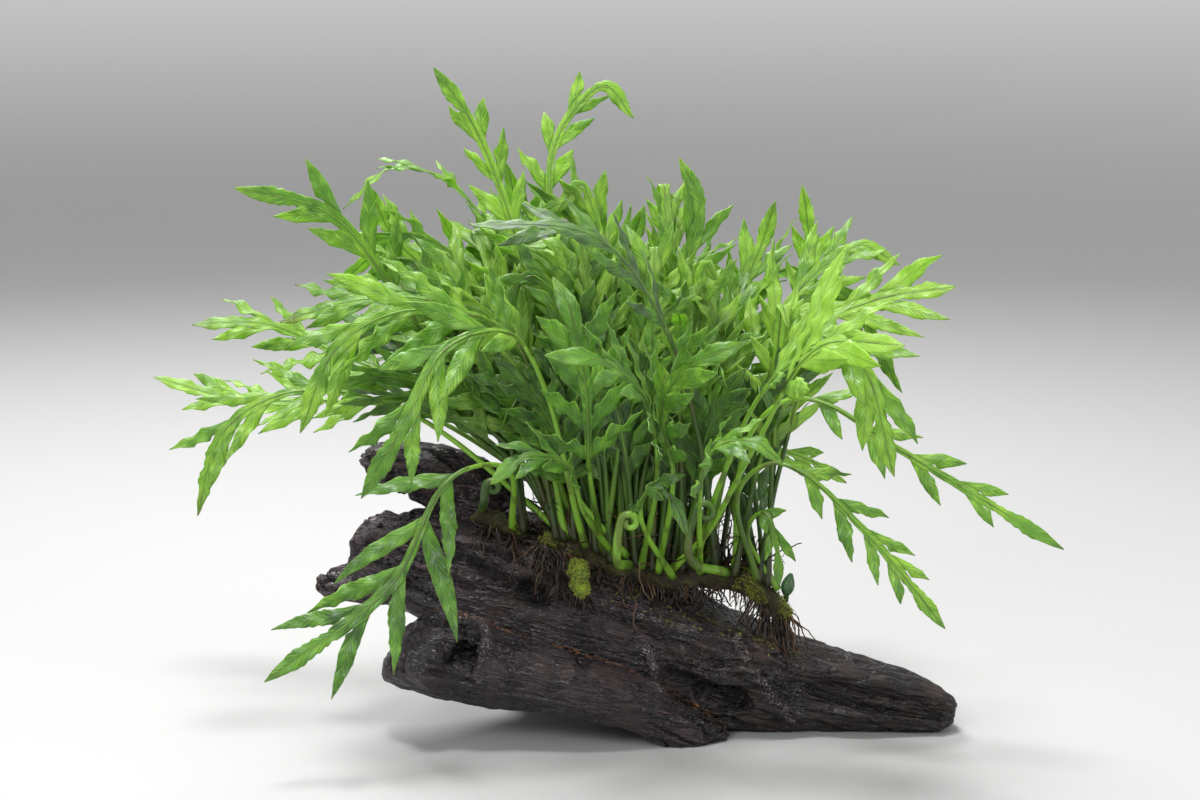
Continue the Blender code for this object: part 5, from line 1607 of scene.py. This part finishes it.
def pixels_of(points):
    """Where the photo shows rows of points that are given in the tables' millimetres."""
    right, up, ahead = [np.array(axis) for axis in view_axes()]
    away = points - (np.array(CAMERA) / MM + np.array(ORIGIN))
    scale = LENS / SENSOR * PHOTO_WIDTH / (away @ ahead)
    return PHOTO_WIDTH / 2 + (away @ right) * scale, PHOTO_HEIGHT / 2 - (away @ up) * scale


def under_seam(points):
    """1 where the slab's face belongs to the lobe in the photo, else 0."""
    across, down = pixels_of(points)
    line = np.interp(across, *zip(*SEAM_PIXELS))
    return smooth((down - line) / SEAM_SOFT) * smooth((SEAM_END - across) / SEAM_SOFT)


def melted(names, voxel):
    """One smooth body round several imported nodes, as a mesh in the tables' millimetres."""
    joined = bmesh.new()
    for name in names:
        part = bmesh.new()
        part.from_mesh(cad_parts[name].data)
        bmesh.ops.remove_doubles(part, verts=part.verts, dist=1e-6)
        part.normal_update()
        for vert, normal in [(vert, vert.normal.copy()) for vert in part.verts]:
            vert.co = vert.co / MM + Vector(ORIGIN) + normal * WOOD_GROW
        spare = bpy.data.meshes.new("spare")
        part.to_mesh(spare)
        part.free()
        joined.from_mesh(spare)
        bpy.data.meshes.remove(spare)
    mesh = bpy.data.meshes.new("melted")
    joined.to_mesh(mesh)
    joined.free()
    holder = bpy.data.objects.new("melted", mesh)
    bpy.context.scene.collection.objects.link(holder)
    remesh = holder.modifiers.new("remesh", "REMESH")
    remesh.mode = "VOXEL"
    remesh.voxel_size = voxel
    soften = holder.modifiers.new("soften", "SMOOTH")
    soften.factor = 0.5
    soften.iterations = SMOOTHING
    bpy.context.view_layer.update()
    evaluated = holder.evaluated_get(bpy.context.evaluated_depsgraph_get())
    result = bpy.data.meshes.new_from_object(evaluated)
    bpy.data.objects.remove(holder)
    bpy.data.meshes.remove(mesh)
    return result


def grain_noise(along, deep, across, sizes):
    return noise.noise(Vector((along / sizes[0], deep / sizes[1], across / sizes[2])))


def wood_relief(point, layered, skin):
    """Height of the wood's weathered skin, and its cracks: lumps, layers of grain and fibres."""
    fall = math.radians(GRAIN_FALL)
    along = point.x * math.cos(fall) - point.z * math.sin(fall)
    across = point.x * math.sin(fall) + point.z * math.cos(fall)
    warp = WARP * noise.noise(point / WARP_SIZE)
    lumps = noise.noise(point / LUMP_SIZE)
    layers = grain_noise(along, point.y + warp, across + warp, LAYER_SIZE)
    fibres = grain_noise(along, point.y + warp, across + warp, FIBRE_SIZE)
    shifted = along + CRACK_SHIFT * CRACK_SIZE[0]
    split = abs(grain_noise(shifted, point.y - warp, across + warp, CRACK_SIZE))
    crack = max(0.0, 1 - split / CRACK_WIDTH)
    layered *= 1 - SKIN_LEVELS * skin
    fine = grain_noise(along, point.y, across, FINE_SIZE)
    height = LUMP_RISE * lumps + layered * (LAYER_RISE * layers - CRACK_DEPTH * crack ** CRACK_SHARP)
    return height + mix(FIBRE_RISE * fibres, FINE_RISE * fine, skin), crack * layered


def strength_of(layers, x):
    """How strongly layers show at one x."""
    strength, changes = layers
    for amount, first, over in changes:
        strength += amount * smooth((x - first) / over)
    return strength


def segment_distance(points, start, end):
    """Distance of each row of points from the line between start and end."""
    start, span = np.array(start), np.array(end) - np.array(start)
    share = np.clip((points - start) @ span / max(1e-9, span @ span), 0, 1)
    return np.linalg.norm(points - start - share[:, None] * span, axis=1)


def rows_of(collection, key):
    values = np.empty(len(collection) * 3)
    collection.foreach_get(key, values)
    return values.reshape(-1, 3)


def carve_marks(points, marks, trees):
    """How deep the marks cut into each point, and how far their crests rise over it."""
    rough = np.array([noise.noise(Vector(place) / MARK_GRIT) for place in points])
    cut = np.zeros(len(points))
    crest = np.zeros(len(points))
    for pixels, rise, half, crumble in marks:
        run = [seen_at(pixel, trees) for pixel in pixels]
        run = [place for place in run if place]
        for start, end in zip(run, run[1:]):
            near = np.exp(-(segment_distance(points, start, end) / half / MARK_SPREAD) ** 2)
            change = MARK_RISE * rise * near * (1 + crumble * rough)
            if rise < 0:
                cut = np.minimum(cut, change)
            else:
                crest = np.maximum(crest, change)
    return cut, crest


def carve(name, nodes, voxel, marks, layers, skin_of, trees, neighbours, material):
    """A fine piece of wood in place of its solids, with its marks and weathered grain."""
    mesh = melted(nodes, voxel)
    count = len(mesh.vertices)
    points = rows_of(mesh.vertices, "co")
    normals = rows_of(mesh.vertex_normals, "vector")
    height = np.zeros(count)
    crack = np.zeros(count)
    skin = skin_of(points)
    for index, place in enumerate(points):
        strength = strength_of(layers, place[0])
        height[index], crack[index] = wood_relief(Vector(place), strength, skin[index])
    cut, crest = carve_marks(points, marks, trees)
    height += cut + crest
    points += normals * height[:, None]
    points[:, 2] = np.maximum(points[:, 2], FLOOR_FREE)
    seam = np.zeros(count)
    for index, place in enumerate(points):
        nearest = min(tree.find_nearest(Vector(place), SEAM_LOOK)[3] or SEAM_LOOK
                      for tree in neighbours)
        seam[index] = max(0.0, 1 - nearest / SEAM_NEAR)
    mesh.vertices.foreach_set("co", ((points - np.array(ORIGIN)) * MM).ravel())
    mesh.update()
    mesh.polygons.foreach_set("use_smooth", [True] * len(mesh.polygons))
    store(mesh, "wood", np.stack((height, seam, crest), 1))
    store(mesh, "hollow", np.stack((-cut, crack, skin), 1))
    mesh.materials.clear()
    mesh.name = name
    return hand_over(name, mesh, (material,), nodes)


def broken_skin(points):
    """1 on the lobe's smooth skin, 0 on its splintered end."""
    return 1 - smooth((pixels_of(points)[0] - BROKEN_PIXEL) / SEAM_SOFT)


def make_wood(material):
    slab_trees = [tree_of_object(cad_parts[name]) for name in SLAB_NODES]
    lobe_trees = [tree_of_object(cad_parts[name]) for name in LOBE_NODES]
    both = slab_trees + lobe_trees
    slab = carve("driftwood_slab", SLAB_NODES, SLAB_VOXEL, SLAB_MARKS, SLAB_LAYERS, under_seam,
                 both, lobe_trees, material)
    lobe = carve("driftwood_lobe", LOBE_NODES, LOBE_VOXEL, LOBE_MARKS, LOBE_LAYERS, broken_skin,
                 both, slab_trees, material)
    return [slab, lobe]


# Noises of the grain: waves per millimetre along and across it, detail, roughness and warp.
WOOD_GRAINS = (
    ((0.020, 0.22, 0.22), 2.0, 0.5, 0.8),
    ((0.038, 0.50, 0.50), 2.0, 0.6, 0.7),
    ((0.11, 1.10, 1.10), 1.0, 0.6, 0.9),
    ((0.30, 0.90, 0.90), 1.5, 0.6, 1.5),
)


def wood_grain(look, position):
    """Broad bands, long fibres, fine fibres, and the ripples of smooth skin."""
    turned = look.node("VectorRotate", {"Vector": position, "Angle": -math.radians(GRAIN_FALL)},
                       rotation_type="Y_AXIS").outputs[0]
    return [look.noise(look.scaled(turned, per_mm), 1.0, *rest) for per_mm, *rest in WOOD_GRAINS]


def wood_material():
    """Waterlogged driftwood: nearly black and wet, with long fibres, rippled skin and brown seams, and
    painted shade in its hollows and cracks.
    """
    look = Look("dark_wet_wood")
    height, seam, crest = look.attribute("wood")
    hollow, crack, skin = look.attribute("hollow")
    position = look.position()
    broad, long, fibre, ripple = wood_grain(look, position)
    lumps = look.noise(position, 0.10, 3.0)
    grit = look.noise(position, 1.6, 2.0)
    grain = look.mixed((long, 0.42), (fibre, 0.34), (broad, 0.24))
    weave = look.mixed((ripple, 0.5), (fibre, 0.2), (lumps, 0.3))
    bare = look.blend(look.step(grain, 0.43, 0.60), GRAIN_DARK, GRAIN_PALE)
    smoother = look.blend(look.step(weave, 0.41, 0.59), SKIN_DARK, SKIN_PALE)
    colour = look.blend(skin, bare, smoother)
    right = look.step(look.node("SeparateXYZ", {0: position}).outputs[0], *RIGHT_DARKENS)
    right = look.times(right, look.minus(0.72, look.times(skin, 0.4)))
    colour = look.blend(right, colour, WOOD_RIGHT)
    colour = look.blend(look.times(look.step(lumps, 0.5, 0.70), 0.45), colour, WOOD_WARM)
    rust = look.times(look.step(seam, 0.35, 0.9), look.step(ripple, 0.48, 0.60))
    colour = look.blend(rust, colour, WOOD_RUST)
    # Pale colour on the crests of the marks: partly dust, partly a painted highlight on the ridges.
    crest_dust_and_highlight = look.times(look.step(crest, 0.5, 1.7), look.step(grit, 0.50, 0.66))
    colour = look.blend(look.times(crest_dust_and_highlight, 0.7), colour, WOOD_DUST_AND_HIGHLIGHT)
    # Painted shade: near black in cut hollows, cracks and low places, together with the real dark grain
    # lines.
    cracks = look.times(look.step(crack, 0.2, 1.0), 0.8)
    dark = look.plus(look.step(hollow, 0.5, 3.6), cracks, clamp=True)
    low = look.rest(look.step(height, -2.4, 0.6))
    dark = look.math("MAXIMUM", dark, look.times(low, 0.7))
    line = look.plus(look.times(look.line(long, 0.035), look.rest(skin)),
                     look.times(look.line(ripple, 0.04), look.times(skin, 0.6)))
    dark = look.math("MAXIMUM", dark, look.times(line, 0.85))
    colour = look.blend(look.times(dark, 0.93), colour, WOOD_LINES_AND_HOLLOW_SHADE)
    relief = look.mixed((long, 1.0), (ripple, 0.4), (fibre, 0.4))
    normal = look.bump(look.minus(relief, look.times(line, 0.12)), 0.0016)
    rough = look.plus(0.13, look.times(look.step(lumps, 0.35, 0.7), 0.25))
    rough = look.plus(rough, look.times(grit, 0.15))
    return look.finish(colour, rough, normal, Specular_IOR_Level=0.5)


def stalk_material():
    """Smooth green stalks and midribs with dark specks; some are old and brownish, and darker stalks
    carry painted shade at their feet.
    """
    look = Look("fern_stalk")
    kind = look.attribute("place")[2]
    tone, grown, _ = look.attribute("shade")
    position = look.position()
    fine = look.noise(position, 1.4, 2.0)
    slow = look.noise(position, 0.035, 2.0)
    light = look.swing(tone, (slow, 0.45, 1.6))
    colour = look.blend(look.step(light, 0.0, 0.8), STALK_DARK, STALK_GREEN)
    old = look.step(look.noise(look.scaled(position, (1, 1, 0.15)), 0.16, 1.0), 0.56, 0.66)
    colour = look.blend(look.times(old, 0.6), colour, STALK_OLD)
    specks = look.step(look.noise(position, 2.4, 2.0), 0.62, 0.70)
    colour = look.blend(look.times(specks, 0.55), colour, STALK_SPECK)
    rib = look.step(kind, 0.5 * (STALK_KIND + RIB_KIND), RIB_KIND)
    colour = look.blend(look.times(rib, 0.42), colour, STALK_RIB)
    # Painted shade at the foot of the stalks, strongest on dark ones and left off the midribs.
    foot = look.rest(look.step(grown, 0.0, 0.42))
    foot_shade = look.times(foot, look.rest(look.step(tone, 0.0, 0.6)))
    foot_shade = look.times(foot_shade, look.rest(rib))
    colour = look.blend(look.times(foot_shade, 0.85), colour, STALK_FOOT_SHADE)
    normal = look.bump(look.noise(look.scaled(position, (1, 1, 0.2)), 1.8, 3.0), 0.0002, 0.8)
    return look.finish(colour, look.plus(0.28, look.times(fine, 0.25)), normal, Coat_Weight=0.1,
                       Coat_Roughness=0.2)


def stem_material(name, colours):
    """A creeping stem: brown scales and skin with patches of low green moss."""
    dark, middle, light = colours
    look = Look(name)
    position = look.position()
    patch = look.noise(position, 0.22, 3.0)
    fine = look.noise(position, 1.6, 4.0, 0.65)
    colour = look.blend(look.step(fine, 0.35, 0.65), dark, middle)
    mossy = look.times(look.step(patch, 0.48, 0.60), look.step(fine, 0.3, 0.6))
    colour = look.blend(mossy, colour, light)
    normal = look.bump(look.plus(fine, look.noise(position, 4.5, 2.0)), 0.0011)
    return look.finish(colour, look.plus(0.45, look.times(fine, 0.4)), normal)


def moss_material():
    look = Look("moss")
    colour = look.blend(look.attribute("shade")[0], MOSS_DARK, MOSS_PALE)
    colour = look.blend(look.times(look.attribute("place")[0], 0.35), colour, MOSS_TIP)
    speck = look.noise(look.position(), 1.1, 2.0)
    colour = look.blend(look.times(look.step(speck, 0.52, 0.66), 0.6), colour, MOSS_SPECK)
    return look.finish(colour, 0.65)


def root_material():
    look = Look("roots")
    fine = look.noise(look.position(), 1.2, 3.0)
    tone = look.attribute("shade")[0]
    colour = look.blend(look.step(tone, 0.25, 1.0), ROOT_DARK, ROOT_BROWN)
    colour = look.blend(look.step(fine, 0.45, 0.7), colour, ROOT_PATCH)
    return look.finish(colour, 0.42, look.bump(fine, 0.0002))


def bud_material():
    look = Look("bud")
    fine = look.noise(look.position(), 0.9, 3.0)
    colour = look.blend(look.step(fine, 0.35, 0.65), BUD_DARK, BUD_PALE)
    return look.finish(colour, 0.35, look.bump(fine, 0.0003), Coat_Weight=0.2, Coat_Roughness=0.2)


def make_leaves(finishes, stem_rows):
    table = dict(FRONDS)
    table.update(back_fronds(stem_rows))
    for number, (name, row) in enumerate(table.items()):
        frond, chosen = packed_frond(number, name, row, stem_rows)
        tone = TONES.get(name, BACK_TONE)
        leaf = Leaf(frond, chosen, tone, BROWN_TIPS.get(name, BROWN_ELSEWHERE))
        if name not in TONES:
            leaf.stalk_tone = leaf.chance.uniform(*SHADED_BACK_STALKS)
        leaf.grow().object("fern_" + name, finishes, "leaf", ["frond_" + name])


# The studio. Places are in metres.
FLOOR_FLAT, FLOOR_CURVE = 1.5, 1.2
FLOOR_BELOW = 0.0002                    # how far the floor lies under the object
FLOOR_SIDES, CURVE_STEPS = 96, 16
WALL_LIGHTENS = 400                     # millimetres of height over which the wall grows paler
FLOOR_PALE, WALL_PALE = (0.40, 0.40, 0.398), (0.92, 0.92, 0.92)
SKY_HEIGHTS, SKY_LIGHT = (0.05, 0.9), (0.34, 0.62)  # low down and overhead
LIGHTS_AIM = (-0.03, 0, 0.11)
# Lights: place, width and watts.
LIGHTS = {
    "top": ((-0.15, -0.25, 1.15), 0.3, 12.5),
    "back": ((-0.30, 0.60, 1.00), 0.45, 12),
    "side": ((0.95, -0.75, 0.45), 0.35, 4),
    "front": ((-0.55, -1.10, 0.75), 0.4, 7),
}


def looking(name, data, place, aim):
    """A light or camera at a place, turned to its aim."""
    made = bpy.data.objects.new(name, data)
    made.location = place
    made.rotation_euler = (Vector(aim) - Vector(place)).to_track_quat("-Z", "Y").to_euler()
    bpy.context.scene.collection.objects.link(made)
    return made


def bowl_profile():
    """Radius and height of the floor, which curves up into a low wall far behind the object."""
    yield FLOOR_FLAT, 0.0
    for step in range(1, CURVE_STEPS + 1):
        turn = math.pi / 2 * step / CURVE_STEPS
        yield FLOOR_FLAT + FLOOR_CURVE * math.sin(turn), FLOOR_CURVE * (1 - math.cos(turn))


def make_sky():
    """White light from all sides, brighter from above."""
    world = bpy.data.worlds.new("soft_studio")
    world.use_nodes = True
    tree = world.node_tree
    place = tree.nodes.new("ShaderNodeTexCoord")
    parts = tree.nodes.new("ShaderNodeSeparateXYZ")
    rise = tree.nodes.new("ShaderNodeMapRange")
    tree.links.new(place.outputs["Generated"], parts.inputs[0])
    tree.links.new(parts.outputs["Z"], rise.inputs[0])
    for socket, value in enumerate((*SKY_HEIGHTS, *SKY_LIGHT), 1):
        rise.inputs[socket].default_value = value
    tree.links.new(rise.outputs[0], tree.nodes["Background"].inputs[1])
    tree.nodes["Background"].inputs[0].default_value = (1, 1, 1, 1)
    bpy.context.scene.world = world


def make_floor():
    net = bmesh.new()
    loops = [[net.verts.new((radius * math.cos(turn), radius * math.sin(turn), height))
              for turn in turns(FLOOR_SIDES)] for radius, height in bowl_profile()]
    net.faces.new(loops[0])
    for here, after in zip(loops, loops[1:]):
        for side in range(FLOOR_SIDES):
            beside = (side + 1) % FLOOR_SIDES
            net.faces.new((here[side], after[side], after[beside], here[beside]))
    mesh = bpy.data.meshes.new("floor")
    net.to_mesh(mesh)
    net.free()
    mesh.polygons.foreach_set("use_smooth", [True] * len(mesh.polygons))
    floor = bpy.data.objects.new("floor", mesh)
    floor.location.z = -FLOOR_BELOW
    bpy.context.scene.collection.objects.link(floor)
    look = Look("pale_floor")
    height = look.node("SeparateXYZ", {0: look.position()}).outputs[2]
    rise = look.step(height, 0, WALL_LIGHTENS)
    mesh.materials.append(look.finish(look.blend(rise, FLOOR_PALE, WALL_PALE), 0.7))


def make_studio():
    make_sky()
    make_floor()
    for name, (place, size, power) in LIGHTS.items():
        light = bpy.data.lights.new(name, "AREA")
        light.shape = "DISK"
        light.size = size
        light.energy = power
        looking(name, light, place, LIGHTS_AIM)
    camera = bpy.data.cameras.new("camera")
    camera.sensor_width = SENSOR
    camera.lens = LENS
    camera.clip_start = 0.01
    scene = bpy.context.scene
    scene.camera = looking("camera", camera, CAMERA, AIM)
    scene.view_settings.view_transform = "Standard"


def main():
    wood = [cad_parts[name] for name in SLAB_NODES + LOBE_NODES]
    stem_rows = {name: settle(rows, wood) for name, rows in RHIZOMES.items()}
    materials = {
        "stalk": stalk_material(),
        "stem": stem_material("creeping_stem", STEM_COLOURS),
        "stub": stem_material("moss_stub", STUB_COLOURS),
    }
    finishes = (leaf_material(), materials["stalk"])
    make_leaves(finishes, stem_rows)
    make_inner_leaves(finishes, stem_rows)
    make_fill_leaves(finishes, stem_rows)
    ground = Ground(make_wood(wood_material()))
    make_roots(ground, stem_rows, root_material())
    skins = make_stems(stem_rows, materials)
    make_moss(ground, skins, stem_rows, moss_material())
    make_young(stem_rows, materials["stalk"])
    make_bud(stem_rows, bud_material())
    make_studio()


main()
